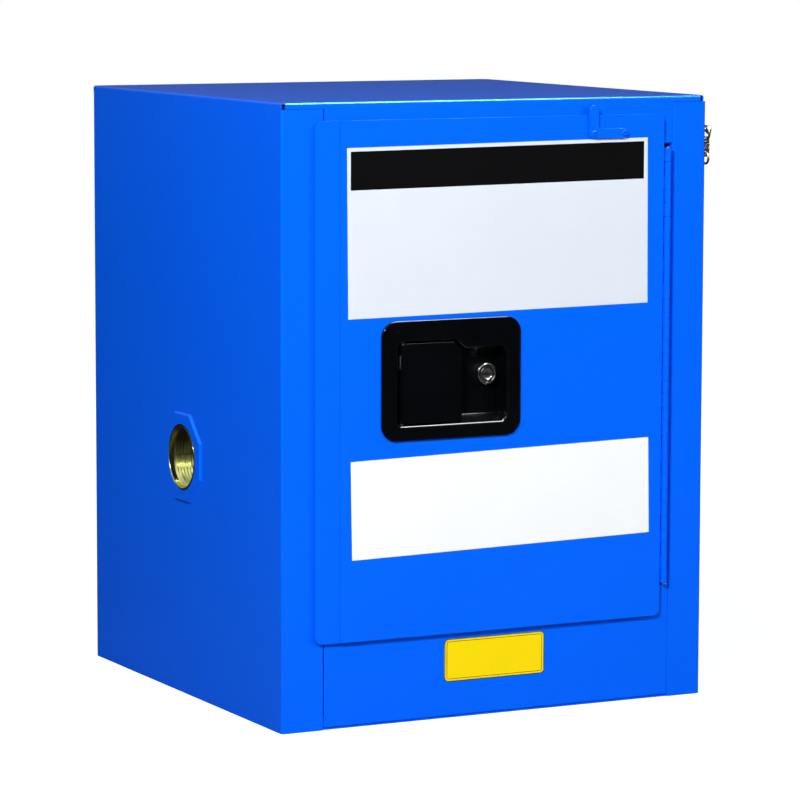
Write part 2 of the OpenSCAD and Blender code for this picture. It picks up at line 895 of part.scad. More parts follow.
module door_skin() {
    hem_y = door_y + hem_d;
    color(blue)
        difference() {
            union() {
                // Front sheet: the main face and the set-back strip
                intersection() {
                    stand_up(door_y, hem_y)
                        door_outline(0);
                    union() {
                        span(crease_x, door_rt + 1, door_y, skin_y, door_b - 1, door_t + 1);
                        span(door_l - 1, crease_x, strip_y, strip_y + sheet_t, door_b - 1, door_t + 1);
                        span(crease_x, crease_x + sheet_t, door_y, strip_y + sheet_t, door_b - 1, door_t + 1);
                    }
                }
                // Rolled edge
                intersection() {
                    difference() {
                        stand_up(door_y, hem_y)
                            door_outline(0);
                        stand_up(door_y - 1, hem_y + 1)
                            door_outline(sheet_t);
                    }
                    union() {
                        span(crease_x, door_rt + 1, door_y, hem_y, door_b - 1, door_t + 1);
                        span(door_l - 1, crease_x + eps, strip_y, hem_y, door_b - 1, door_t + 1);
                    }
                }
            }
            // Room for the hinge leaf behind the right edge
            span(axis_x - leaf_w - 1, door_rt + 1, skin_y, hem_y + 1, hinge_z0 - 1, hinge_z1 + 1);
            // Cut-out for the handle tray
            span(pocket_l - tray_t - cutout_gap, pocket_r + tray_t + cutout_gap, door_y - 1, hem_y,
                 pocket_b - tray_t - cutout_gap, pocket_t + tray_t + cutout_gap);
            tray_studs(stud_r + 0.3, door_y - 1, hem_y);
            bracket_holes(screw_r + 0.1, door_y - 1, hem_y);
        }
}

// The back of the door: a shallow pan that fills the opening and leaves an air space behind the skin
module door_inner_pan() {
    weld_w = 12;
    color(blue_inside)
        difference() {
            union() {
                difference() {
                    span(pan_l, pan_r, leaf_y, pan_y, pan_b, pan_t);
                    span(pan_l + sheet_t, pan_r - sheet_t, leaf_y - 1, pan_y - sheet_t,
                         pan_b + sheet_t, pan_t - sheet_t);
                }
                for (z = [pan_b, pan_t - weld_w])
                    span(crease_x + sheet_t, axis_x - leaf_w - 0.5, skin_y, leaf_y + eps, z, z + weld_w);
            }
            span(pan_l - 1, pan_l + sheet_t + 1, bolt_y - 1, bolt_y + bolt_t + 1,
                 bolt_z - bolt_h / 2 - 1, bolt_z + bolt_h / 2 + 1);
        }
}

// Z-section between the skin and the pan
module door_stiffener() {
    weld_clear = 12.5;
    x = door_rt - stiffener_inset;
    flange = 15;
    z0 = pan_b + weld_clear;
    z1 = pan_t - weld_clear;
    back = pan_y - sheet_t;
    color(steel)
        union() {
            span(x, x + sheet_t, skin_y, back, z0, z1);
            span(x - flange, x + sheet_t, skin_y, skin_y + sheet_t, z0, z1);
            span(x, x + flange, back - sheet_t, back, z0, z1);
        }
}

// ---------------------------------------------------------------- hold-open bracket

// Centres of the bracket's two screws, in x and z
bracket_ends = [[bracket_x + bracket_w / 2, bracket_z + bracket_w / 2],
                [bracket_x + bracket_foot - bracket_w / 2, bracket_z + bracket_w / 2]];

module bracket_holes(r, y0, y1) {
    for (p = bracket_ends)
        rod_y_dir(y0, y1, p[0], p[1], r);
}

module hold_open_bracket() {
    half = bracket_w / 2;
    color(blue)
        difference() {
            stand_up(door_y - bracket_t, door_y) {
                for (p = bracket_ends)
                    translate(p)
                        circle(half);
                translate([bracket_x + half, bracket_z])
                    square([bracket_foot - bracket_w, bracket_w]);
                translate([bracket_x, bracket_z + half])
                    square([bracket_w, bracket_up - bracket_w]);
                translate([bracket_x + half, bracket_z + bracket_up - half])
                    circle(half);
            }
            bracket_holes(screw_r + 0.1, door_y - bracket_t - 1, door_y + 1);
        }
}

// Round-headed screws through the bracket and the skin
module bracket_screws() {
    head_h = 1.8;
    color(blue) {
        bracket_holes(screw_r * 2, door_y - bracket_t - head_h, door_y - bracket_t);
        bracket_holes(screw_r, door_y - bracket_t - eps, skin_y + 3);
    }
}

// ---------------------------------------------------------------- handle

module tray_studs(r, y0, y1, sides = 48) {
    for (x = [tray_l + stud_inset, tray_l + tray_w - stud_inset],
         z = [tray_b + stud_inset, tray_b + tray_h - stud_inset])
        rod_y_dir(y0, y1, x, z, r, sides);
}

// Where the sloped part of the pocket starts
slope_x = paddle_rt + 1.6;

// Outline of the pocket in x and z, drawn out by grow
module pocket_outline(grow) {
    l = pocket_l - grow;
    r = pocket_r + grow;
    b = pocket_b - grow;
    t = pocket_t + grow;
    c = pocket_chamfer;
    k = hinge_chamfer;
    polygon([[l, b + k], [l + k, b], [r - c, b], [r, b + c],
             [r, t - pocket_step - c], [r - c, t - pocket_step], [slope_x + 2, t - pocket_step],
             [slope_x - pocket_step, t], [l + k, t], [l, t - k]]);
}

// Black tray let into the door: a rim on the skin, a pocket with sloped upper and lower walls at the right
module handle_tray() {
    low_slope = 5.5;
    top_slope = 10;
    color(black)
        difference() {
            union() {
                difference() {
                    union() {
                        stand_up(tray_face_y, door_y)
                            translate([tray_l, tray_b])
                                round_rect(tray_w, tray_h, tray_r);
                        stand_up(door_y - eps, tray_back_y)
                            pocket_outline(tray_t);
                    }
                    stand_up(tray_face_y - 1, floor_y)
                        pocket_outline(0);
                }
                sweep_x(slope_x, pocket_r + eps) {
                    polygon([[door_y, pocket_b - eps], [floor_y + eps, pocket_b - eps],
                             [floor_y + eps, pocket_b + low_slope]]);
                    polygon([[door_y, pocket_t - pocket_step + eps],
                             [floor_y + eps, pocket_t - pocket_step + eps],
                             [floor_y + eps, pocket_t - pocket_step - top_slope]]);
                }
                tray_studs(stud_r, door_y - eps, door_y + stud_l);
            }
            // Ways through the floor and the walls for the crank, the lock and the paddle's pin
            span(pin_x - crank_t / 2 - 1.5, pin_x + crank_t / 2 + crank_l * sin(paddle_turn), floor_y - 1,
                 tray_back_y + 1, bolt_z - crank_h / 2 - 1.5, bolt_z + crank_h / 2 + 1.5);
            rod_y_dir(floor_y - 1, tray_back_y + 1, lock_x, lock_z, lock_shank_r + 0.1);
            translate([pin_x, pin_y, pocket_b - tray_t / 2])
                cylinder(h = pocket_h + tray_t, r = paddle_pin_r + run_gap);
        }
}

// Nuts that pull the tray against the skin
module tray_nuts() {
    color(steel)
        difference() {
            tray_studs(tray_nut_r, skin_y, skin_y + tray_nut_h, 6);
            tray_studs(stud_r + run_gap, skin_y - 1, skin_y + tray_nut_h + 1);
        }
}

module paddle_pin() {
    color(steel)
        translate([pin_x, pin_y, pocket_b - tray_t / 2])
            cylinder(h = pocket_h + tray_t, r = paddle_pin_r);
}

spring_h = 14;
spring_z = bolt_z + 11;

// Torsion spring on the paddle's pin
module paddle_spring() {
    color(steel)
        translate([pin_x, pin_y, spring_z + 0.5])
            helix(paddle_pin_r + 0.8, 0.5, 9, spring_h - 1);
}

// The paddle turns about its pin, and its crank reaches through the tray's floor to the bolt
module handle_paddle() {
    lip_d = 6;
    corner = pocket_step;
    cut = hinge_chamfer + 1;
    color(black)
        difference() {
            union() {
                stand_up(paddle_y, paddle_y + paddle_t)
                    polygon([[paddle_l, paddle_b + cut], [paddle_l + cut, paddle_b], [paddle_rt, paddle_b],
                             [paddle_rt, paddle_top - corner], [paddle_rt - corner, paddle_top],
                             [paddle_l + cut, paddle_top], [paddle_l, paddle_top - cut]]);
                span(paddle_rt - paddle_t, paddle_rt, paddle_y, paddle_y + paddle_t + lip_d,
                     paddle_b, paddle_top - corner);
                span(pin_x - 2, pin_x + 2, paddle_y + paddle_t - eps, pin_y, paddle_b + cut, paddle_top - cut);
                translate([pin_x, pin_y, paddle_b])
                    cylinder(h = paddle_top - paddle_b, r = barrel_r);
                span(pin_x - crank_t / 2, pin_x + crank_t / 2, pin_y, pin_y + crank_l,
                     bolt_z - crank_h / 2, bolt_z + crank_h / 2);
            }
            translate([pin_x, pin_y, paddle_b - 1])
                cylinder(h = paddle_top - paddle_b + 2, r = paddle_pin_r + run_gap);
            // Room for the spring
            span(pin_x - barrel_r - 1, pin_x + barrel_r + 1, paddle_y + paddle_t, pin_y + barrel_r + 1,
                 spring_z, spring_z + spring_h);
        }
}

// ---------------------------------------------------------------- latch

module latch_bolt() {
    color(steel)
        union() {
            difference() {
                span(bolt_l, bolt_end, bolt_y, bolt_y + bolt_t, bolt_z - bolt_h / 2, bolt_z + bolt_h / 2);
                // Slanted nose: the rear corner rides over the jamb when the door swings shut
                translate([bolt_l, bolt_y + bolt_t, bolt_z])
                    rotate([0, 0, 45])
                        cube([bolt_t * 0.9, bolt_t * 0.9, bolt_h + 2], center = true);
            }
            span(tab_x, tab_x + tab_t, bolt_y - tab_l, bolt_y + eps,
                 bolt_z - crank_h / 2 - 1, bolt_z + crank_h / 2 + 1);
            rod_x(bolt_end - eps, rod_end, rod_y, bolt_z, rod_r);
        }
}

// Channel on the pan's back wall, with a guide at each end for the bolt and a stop for its spring
module latch_case() {
    back = pan_y - sheet_t;
    wide = bolt_h + 12;
    front = bolt_y - 4;
    color(steel)
        difference() {
            union() {
                span(case_l, case_end + guide_t, back - sheet_t, back, bolt_z - wide / 2, bolt_z + wide / 2);
                for (x = [case_l, tab_x - guide_back, case_end])
                    span(x, x + guide_t, front, back - sheet_t + eps, bolt_z - wide / 2, bolt_z + wide / 2);
            }
            span(case_l - 1, tab_x - guide_back / 2, bolt_y - guide_gap, bolt_y + bolt_t + guide_gap,
                 bolt_z - bolt_h / 2 - guide_gap, bolt_z + bolt_h / 2 + guide_gap);
            rod_x(case_end - 1, case_end + guide_t + 1, rod_y, bolt_z, rod_r + run_gap);
        }
}

// Spring that drives the bolt out again
module latch_spring() {
    color(steel)
        translate([bolt_end + 0.4, rod_y, bolt_z])
            rotate([0, 90, 0])
                helix(rod_r + 1.4, 0.6, 7, case_end - bolt_end - 0.8);
}

// ---------------------------------------------------------------- lock

module lock_body() {
    bezel_y = floor_y - lock_proud;
    color(chrome)
        difference() {
            union() {
                rod_y_dir(bezel_y, bezel_y + bezel_t, lock_x, lock_z, collar_r);
                rod_y_dir(bezel_y + bezel_t - eps, floor_y, lock_x, lock_z, lock_r);
                rod_y_dir(floor_y - eps, lock_back_y - 0.3, lock_x, lock_z, lock_shank_r);
            }
            rod_y_dir(bezel_y - 1, lock_back_y + 1, lock_x, lock_z, plug_r + run_gap);
        }
}

module lock_nut() {
    color(steel)
        difference() {
            rod_y_dir(tray_back_y, tray_back_y + lock_nut_h, lock_x, lock_z, lock_shank_r + 3.5, 6);
            rod_y_dir(tray_back_y - 1, tray_back_y + lock_nut_h + 1, lock_x, lock_z, lock_shank_r + run_gap);
        }
}

// The plug turns with the key; its slot stands upright when the lock is open
module lock_plug() {
    color(chrome)
        difference() {
            rod_y_dir(floor_y - lock_proud + 0.4, lock_back_y, lock_x, lock_z, plug_r);
            span(lock_x - key_t / 2, lock_x + key_t / 2, floor_y - lock_proud - 1, floor_y - lock_proud + 6,
                 lock_z - key_w / 2, lock_z + key_w / 2);
        }
}

// The cam hangs down when the lock is open, and turns up behind the bolt's rod when it is locked
module lock_cam() {
    color(steel)
        difference() {
            stand_up(lock_back_y, lock_back_y + cam_t) {
                translate([lock_x, lock_z])
                    circle(cam_w / 2);
                translate([lock_x - cam_w / 2, lock_z - cam_l])
                    square([cam_w, cam_l]);
            }
            rod_y_dir(lock_back_y - 1, lock_back_y + cam_t + 1, lock_x, lock_z, 2.05);
        }
}

module cam_screw() {
    color(steel)
        union() {
            rod_y_dir(lock_back_y, lock_back_y + cam_t + eps, lock_x, lock_z, 2);
            rod_y_dir(lock_back_y + cam_t, lock_back_y + cam_t + 1.8, lock_x, lock_z, 3.8);
        }
}

// ---------------------------------------------------------------- shelf, clips and trays

// Clips that hook into the liner's slots and carry the shelf
module shelf_clips() {
    color(steel)
        for (end = [-1, 1], y = [-clip_y, clip_y]) {
            wall = end < 0 ? open_l : open_r;
            translate([wall, y, shelf_h])
                mirror([end < 0 ? 0 : 1, 0, 0]) {
                    span(0, clip_reach, -clip_w / 2, clip_w / 2, -clip_t, 0);
                    span(0, clip_t, -clip_w / 2, clip_w / 2, -clip_h, -clip_t + eps);
                    span(-sheet_t - 1.5, eps, -slot_w / 2 + 0.5, slot_w / 2 - 0.5,
                         -clip_t - slot_h + 0.5, -clip_t - 0.5);
                    span(-sheet_t - 3, -sheet_t - 1.5 + eps, -slot_w / 2 + 0.5, slot_w / 2 - 0.5,
                         -clip_t - slot_h + 0.5, -clip_t + 5);
                }
        }
}

// Open tray: outer size between two corners, with walls and floor of thickness t
module open_tray(x0, x1, y0, y1, z0, h, t) {
    difference() {
        span(x0, x1, y0, y1, z0, z0 + h);
        span(x0 + t, x1 - t, y0 + t, y1 - t, z0 + t, z0 + h + 1);
    }
}

module shelf() {
    color(steel)
        open_tray(open_l + shelf_gap, open_r - shelf_gap, shelf_front_y, shelf_back_y,
                  shelf_h, shelf_lip, sheet_t);
}

module shelf_tray() {
    inset = shelf_gap + sheet_t + 1;
    color(white_poly)
        open_tray(open_l + inset, open_r - inset, shelf_front_y + sheet_t + 1, shelf_back_y - sheet_t - 1,
                  shelf_h + sheet_t, shelf_tray_h, poly_t);
}

module sump_tray() {
    color(white_poly)
        open_tray(open_l + tray_clear, open_r - tray_clear, frame_y + tray_clear, liner_back_y - tray_clear,
                  floor_z, sump_tray_h, poly_t);
}

// ---------------------------------------------------------------- fusible link

// Shouldered stud in the right wall
module link_stud() {
    shank = link_out + wire_r + 0.8;
    color(steel)
        union() {
            rod_x(right_x - sheet_t - eps, right_x + shank, link_y, stud_z, link_stud_r);
            rod_x(right_x + shank - eps, right_x + shank + 1.7, link_y, stud_z, link_stud_r * 2);
            rod_x(right_x - sheet_t - 2, right_x - sheet_t, link_y, stud_z, link_stud_r * 2);
        }
}

// A wire ring in the plane of y and z
module wire_ring(r, z) {
    translate([link_x, link_y, z])
        rotate([0, 90, 0])
            rotate_extrude($fn = 48)
                translate([r - wire_r, 0])
                    circle(wire_r, $fn = 24);
}

module link_upper_ring() {
    color(steel)
        wire_ring(ring_r, ring_z);
}

module link_lower_ring() {
    color(steel)
        wire_ring(lower_ring_r, lower_z);
}

// Two leaves soldered together, with a hole at each end and three pressed ribs
module fusible_strip() {
    rib_z = (strip_top_z + strip_low_z) / 2;
    color(brass)
        difference() {
            union() {
                stand_up(link_y - strip_t / 2, link_y + strip_t / 2) {
                    for (z = [strip_top_z, strip_low_z])
                        translate([link_x, z])
                            circle(strip_end);
                    translate([link_x - strip_end, strip_low_z])
                        square([2 * strip_end, strip_pitch]);
                }
                for (k = [-1:1])
                    span(link_x - strip_w / 2, link_x + strip_w / 2, link_y - strip_t / 2 - 0.3,
                         link_y + strip_t / 2 + 0.3, rib_z + 2 * k - 0.5, rib_z + 2 * k + 0.5);
            }
            for (z = [strip_top_z, strip_low_z])
                rod_y_dir(link_y - 5, link_y + 5, link_x, z, strip_hole_r);
        }
}

// ---------------------------------------------------------------- labels

// Blank film on the door, turned by tilt about its upper left corner
module door_label(l, t, w, h, tilt) {
    stand_up(door_y - label_t, door_y)
        translate([l, t])
            rotate(tilt)
                translate([0, -h])
                    square([w, h]);
}

module upper_label() {
    color(label_white)
        door_label(upper_label_l, upper_label_t, upper_label_w, upper_label_h, upper_label_tilt);
}

module lower_label() {
    color(label_white)
        door_label(lower_label_l, lower_label_t, lower_label_w, lower_label_h, lower_label_tilt);
}

module sill_label() {
    color(label_yellow)
        stand_up(front_y - label_t, front_y)
            translate([open_l + sill_label_left, door_b - sill_label_drop - sill_label_h])
                round_rect(sill_label_w, sill_label_h, sill_label_r);
}

// ---------------------------------------------------------------- drawing

outer_left_panel();
outer_right_panel();
outer_top_panel();
outer_back_panel();
outer_bottom_panel();
sill_panel();
liner_left();
liner_right();
liner_top();
liner_back();
liner_floor();
vent_bung_left();
vent_bung_right();
vent_sleeve_left();
vent_sleeve_right();
flame_arrester_left();
flame_arrester_right();
strike_plate();
strike_nuts();
hinge_frame_leaf();
hinge_pin();
shelf_clips();
link_stud();
sill_label();
door_skin();
door_inner_pan();
door_stiffener();
hinge_door_leaf();
hold_open_bracket();
bracket_screws();
handle_tray();
tray_nuts();
paddle_pin();
paddle_spring();
lock_body();
lock_nut();
latch_case();
latch_spring();
upper_label();
lower_label();
handle_paddle();
latch_bolt();
lock_plug();
lock_cam();
cam_screw();
shelf();
shelf_tray();
sump_tray();
link_upper_ring();
fusible_strip();
link_lower_ring();
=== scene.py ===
"""Looks for a countertop acid safety cabinet, laid out as a Blender add-on and run as a script."""

import math

import bmesh
import bpy
from bpy.props import FloatProperty, FloatVectorProperty, PointerProperty
from mathutils import Matrix, Vector


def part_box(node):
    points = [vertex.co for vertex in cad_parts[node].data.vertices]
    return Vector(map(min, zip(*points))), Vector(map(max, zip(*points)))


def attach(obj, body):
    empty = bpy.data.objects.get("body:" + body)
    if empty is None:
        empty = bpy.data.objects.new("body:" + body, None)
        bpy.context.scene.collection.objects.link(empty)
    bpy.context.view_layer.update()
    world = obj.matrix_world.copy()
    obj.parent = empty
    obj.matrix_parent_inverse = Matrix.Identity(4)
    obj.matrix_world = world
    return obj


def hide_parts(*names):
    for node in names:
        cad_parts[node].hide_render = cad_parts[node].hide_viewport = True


bl_info = {
    "name": "Acid safety cabinet",
    "version": (1, 0, 0),
    "blender": (4, 5, 0),
    "location": "3D View > Sidebar > Cabinet",
    "description": "Dresses the cabinet's solids with rounded edges, turned fittings, films and finishes",
    "category": "Object",
}

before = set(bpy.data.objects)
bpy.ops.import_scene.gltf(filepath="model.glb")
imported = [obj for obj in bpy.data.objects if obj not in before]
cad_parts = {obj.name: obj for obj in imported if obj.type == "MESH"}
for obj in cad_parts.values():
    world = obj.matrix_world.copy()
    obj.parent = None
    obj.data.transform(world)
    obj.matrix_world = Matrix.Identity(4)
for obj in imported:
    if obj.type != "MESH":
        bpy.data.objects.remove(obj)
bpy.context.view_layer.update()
TURN_STEPS = 72
SHARP_ANGLE = math.radians(38)
FIELD_EDGES = ("Left", "Right", "Left Low", "Left High", "Right Low", "Right High")
OUTLINE_INK = (0.02, 0.018, 0.005)
ON_FACE = 1e-5
# How far the painted shade on the upper part of a turned fitting darkens its colour.
TOP_SHADE_DARKENING = 0.85


# ---------------------------------------------------------------- sizes and colours


class CabinetSizes(bpy.types.PropertyGroup):
    """Sizes of the details that the solids leave out."""

    sheet_round: FloatProperty(
        name="Sheet edge", description="Radius of a folded sheet's edge", default=0.0004, unit="LENGTH"
    )
    boss_round: FloatProperty(
        name="Boss edge", description="Radius where the vent's boss meets the wall",
        default=0.0016, unit="LENGTH",
    )
    door_round: FloatProperty(
        name="Door edge", description="Radius of the door skin's front edge", default=0.00143, unit="LENGTH"
    )
    tray_round: FloatProperty(
        name="Tray edge", description="Radius of the moulded handle tray's edges",
        default=0.0009, unit="LENGTH",
    )
    paddle_round: FloatProperty(
        name="Paddle edge", description="Radius of the paddle's edges", default=0.0007, unit="LENGTH"
    )
    dish_round: FloatProperty(
        name="Dish edge", description="Radius where the tray's rim rolls into its pocket",
        default=0.0024, unit="LENGTH",
    )
    pocket_round: FloatProperty(
        name="Pocket corner", description="Radius of the pocket's inside corners",
        default=0.0012, unit="LENGTH",
    )
    thread_pitch: FloatProperty(
        name="Thread pitch", description="Distance between the turns of the vent's thread", default=0.0031,
        unit="LENGTH",
    )
    thread_depth: FloatProperty(
        name="Thread depth", description="Depth of the vent's thread", default=0.0013, unit="LENGTH"
    )
    bung_groove: FloatProperty(
        name="Bung groove", description="Width of the dark gap round the bung's mouth",
        default=0.0013, unit="LENGTH",
    )
    bracket_round: FloatProperty(
        name="Bracket edge", description="Radius of the hold-open bracket's edges",
        default=0.0012, unit="LENGTH",
    )
    liner_tray_round: FloatProperty(
        name="Liner tray edge", description="Radius of the lift-out trays' edges",
        default=0.0012, unit="LENGTH",
    )
    pan_round: FloatProperty(
        name="Door pan edge", description="Radius of the door's inner pan", default=0.0005, unit="LENGTH"
    )
    plate_round: FloatProperty(
        name="Plate edge", description="Radius of the shelf, the bolt and the lock's nut",
        default=0.0004, unit="LENGTH",
    )
    fitting_round: FloatProperty(
        name="Fitting edge", description="Radius of the small plated fittings", default=0.0003, unit="LENGTH"
    )
    strip_round: FloatProperty(
        name="Link strip edge", description="Radius of the link's ribbed strip", default=0.0002, unit="LENGTH"
    )
    bezel: FloatProperty(
        name="Lock bezel", description="Thickness of the lock's bezel", default=0.0024, unit="LENGTH"
    )
    key_slot: FloatProperty(
        name="Key slot", description="Length of the key slot in the lock's plug",
        default=0.0062, unit="LENGTH",
    )
    film_tilt: FloatProperty(
        name="Film tilt", description="How far the upper film is turned",
        default=math.radians(0.55), unit="ROTATION",
    )


class CabinetColours(bpy.types.PropertyGroup):
    """Colours of the finishes, as linear values."""

    paint: FloatVectorProperty(
        name="Paint", description="Powder coat on the shell and the door", subtype="COLOR", size=3,
        default=(0.0008, 0.127, 1.0),
    )
    paint_inside: FloatVectorProperty(
        name="Paint inside", description="Powder coat on the liner and the back of the door", subtype="COLOR",
        size=3, default=(0.003, 0.1, 0.85),
    )
    tray_black: FloatVectorProperty(
        name="Tray black", description="Moulded handle tray and paddle", subtype="COLOR", size=3,
        default=(0.0012, 0.0018, 0.0026),
    )
    brass: FloatVectorProperty(
        name="Brass", description="Vent bungs", subtype="COLOR", size=3, default=(0.92, 0.95, 0.4)
    )
    zinc: FloatVectorProperty(
        name="Zinc", description="Plated steel fittings", subtype="COLOR", size=3, default=(0.6, 0.61, 0.62)
    )
    # The upper film's white is the lower film's white made darker and bluer: painted shade on a copy of the same
    # vinyl.
    film_white_painted_shade: FloatVectorProperty(
        name="White film", description="Blank films on the door", subtype="COLOR", size=3,
        default=(0.68, 0.735, 0.81),
    )
    film_bright: FloatVectorProperty(
        name="Bright film", description="Blank film under the handle", subtype="COLOR", size=3,
        default=(0.92, 0.94, 0.96),
    )
    film_black: FloatVectorProperty(
        name="Film band", description="Dark band across the upper film", subtype="COLOR", size=3,
        default=(0.003, 0.003, 0.0035),
    )
    film_yellow: FloatVectorProperty(
        name="Yellow film", description="Blank film below the door", subtype="COLOR", size=3,
        default=(1.0, 0.74, 0.0),
    )


class CabinetStudio(bpy.types.PropertyGroup):
    """Camera and light."""

    camera_place: FloatVectorProperty(
        name="Camera place", description="Where the camera stands", subtype="TRANSLATION", unit="LENGTH", size=3,
        default=(-1.67, -3.2951, 0.709),
    )
    camera_turn: FloatVectorProperty(
        name="Camera turn", description="The camera's rotation", subtype="EULER", unit="ROTATION", size=3,
        default=(math.radians(83.141), math.radians(-0.1551), math.radians(-26.9869)),
    )
    lens: FloatProperty(
        name="Lens", description="Focal length for a 36 mm sensor", subtype="DISTANCE_CAMERA", default=175.874
    )
    key_power: FloatProperty(
        name="Key light", description="Power of the main light, left of the camera's line", subtype="POWER",
        default=57.5,
    )
    right_power: FloatProperty(
        name="Right light", description="Power of the soft light on the right", subtype="POWER", default=13.5
    )
    side_power: FloatProperty(
        name="Side light", description="Power of the near light beside the left wall", subtype="POWER",
        default=0.65,
    )
    back_power: FloatProperty(
        name="Back light", description="Power of the weak light behind", subtype="POWER", default=9.0
    )
    edge_power: FloatProperty(
        name="Edge light", description="Power of the light overhead that only gloss shows", subtype="POWER",
        default=150.0,
    )
    fill: FloatProperty(
        name="Fill", description="Strength of the surrounding light", subtype="FACTOR", min=0, max=1,
        default=0.06,
    )
    horizon_glow: FloatProperty(
        name="Horizon glow", description="How bright gloss shows the surroundings at the horizon", subtype="FACTOR",
        min=0, max=1, default=0.05,
    )


def sizes():
    return bpy.context.scene.cabinet_sizes


def colours():
    return bpy.context.scene.cabinet_colours


def studio():
    return bpy.context.scene.cabinet_studio


# ---------------------------------------------------------------- node helpers


def new_group(name, inputs, outputs):
    """A shader node group with named sockets: inputs are (name, type, default), outputs are (name, type)."""
    group = bpy.data.node_groups.new(name, "ShaderNodeTree")
    for label, kind, default in inputs:
        socket = group.interface.new_socket(name=label, in_out="INPUT", socket_type=kind)
        if default is not None:
            socket.default_value = default
    for label, kind in outputs:
        group.interface.new_socket(name=label, in_out="OUTPUT", socket_type=kind)
    return group, group.nodes.new("NodeGroupInput"), group.nodes.new("NodeGroupOutput")


def math_node(tree, operation, first, second=None):
    """A Math node; each value is a socket or a number."""
    node = tree.nodes.new("ShaderNodeMath")
    node.operation = operation
    for socket, value in zip(node.inputs, (first, second)):
        if value is None:
            continue
        if isinstance(value, bpy.types.NodeSocket):
            tree.links.new(value, socket)
        else:
            socket.default_value = value
    return node.outputs[0]


def noise_node(tree, vector, scale, detail=2.0, roughness=0.5):
    node = tree.nodes.new("ShaderNodeTexNoise")
    node.inputs["Scale"].default_value = scale
    node.inputs["Detail"].default_value = detail
    node.inputs["Roughness"].default_value = roughness
    tree.links.new(vector, node.inputs["Vector"])
    return node.outputs["Fac"]


def range_node(tree, value, low, high, out_low, out_high, clamp=True):
    node = tree.nodes.new("ShaderNodeMapRange")
    node.clamp = clamp
    labels = ("Value", "From Min", "From Max", "To Min", "To Max")
    for label, item in zip(labels, (value, low, high, out_low, out_high)):
        if isinstance(item, bpy.types.NodeSocket):
            tree.links.new(item, node.inputs[label])
        else:
            node.inputs[label].default_value = item
    return node.outputs["Result"]


# A Mix node lists one A and one B for each data type, so the colour ones are looked up by type
def mix_rgb(tree, factor, first, second):
    node = tree.nodes.new("ShaderNodeMix")
    node.data_type = "RGBA"
    pair = [s for s in node.inputs if s.type == "RGBA"]
    scalar = next(s for s in node.inputs if s.type == "VALUE")
    for socket, value in ((scalar, factor), (pair[0], first), (pair[1], second)):
        if isinstance(value, bpy.types.NodeSocket):
            tree.links.new(value, socket)
        elif hasattr(value, "__len__"):
            socket.default_value = (*value[:3], 1.0)
        else:
            socket.default_value = value
    return next(s for s in node.outputs if s.type == "RGBA")


# ---------------------------------------------------------------- shared effects


def powder_coat_group():
    """Sprayed paint: faint clouding of the colour, uneven gloss and a fine orange peel."""
    name = "Powder Coat"
    if name in bpy.data.node_groups:
        return bpy.data.node_groups[name]
    group, inside, outside = new_group(
        name,
        [("Coordinates", "NodeSocketVector", None), ("Colour", "NodeSocketColor", (0.5, 0.5, 0.5, 1)),
         ("Clouding", "NodeSocketFloat", 0.05), ("Roughness", "NodeSocketFloat", 0.3)],
        [("Colour", "NodeSocketColor"), ("Roughness", "NodeSocketFloat"), ("Height", "NodeSocketFloat")],
    )
    where = inside.outputs["Coordinates"]
    clouds = noise_node(group, where, 9.0, 3.0)
    shade = range_node(group, clouds, 0.3, 0.7, math_node(group, "SUBTRACT", 1.0, inside.outputs["Clouding"]), 1.0)
    scaled = group.nodes.new("ShaderNodeVectorMath")
    scaled.operation = "SCALE"
    group.links.new(inside.outputs["Colour"], scaled.inputs[0])
    group.links.new(shade, scaled.inputs["Scale"])
    group.links.new(scaled.outputs["Vector"], outside.inputs["Colour"])
    peel = noise_node(group, where, 620.0, 2.0)
    group.links.new(peel, outside.inputs["Height"])
    fine = noise_node(group, where, 60.0, 4.0)
    rough = math_node(group, "ADD", inside.outputs["Roughness"], range_node(group, fine, 0.3, 0.7, -0.01, 0.01))
    group.links.new(rough, outside.inputs["Roughness"])
    return group


def moulded_group():
    """Moulded plastic: a fine eroded grain and slightly uneven gloss."""
    name = "Moulded Grain"
    if name in bpy.data.node_groups:
        return bpy.data.node_groups[name]
    group, inside, outside = new_group(
        name,
        [("Coordinates", "NodeSocketVector", None), ("Colour", "NodeSocketColor", (0.5, 0.5, 0.5, 1)),
         ("Grain", "NodeSocketFloat", 900.0), ("Roughness", "NodeSocketFloat", 0.35),
         ("Mottle", "NodeSocketFloat", 0.1)],
        [("Colour", "NodeSocketColor"), ("Roughness", "NodeSocketFloat"), ("Height", "NodeSocketFloat")],
    )
    where = inside.outputs["Coordinates"]
    grain = group.nodes.new("ShaderNodeTexVoronoi")
    group.links.new(where, grain.inputs["Vector"])
    group.links.new(inside.outputs["Grain"], grain.inputs["Scale"])
    group.links.new(grain.outputs["Distance"], outside.inputs["Height"])
    clouds = noise_node(group, where, 25.0, 3.0)
    shade = range_node(group, clouds, 0.3, 0.7, math_node(group, "SUBTRACT", 1.0, inside.outputs["Mottle"]), 1.0)
    scaled = group.nodes.new("ShaderNodeVectorMath")
    scaled.operation = "SCALE"
    group.links.new(inside.outputs["Colour"], scaled.inputs[0])
    group.links.new(shade, scaled.inputs["Scale"])
    group.links.new(scaled.outputs["Vector"], outside.inputs["Colour"])
    uneven = math_node(group, "MULTIPLY", range_node(group, clouds, 0.3, 0.7, -0.4, 0.5), inside.outputs["Mottle"])
    rough = math_node(group, "ADD", inside.outputs["Roughness"], uneven)
    group.links.new(rough, outside.inputs["Roughness"])
    return group


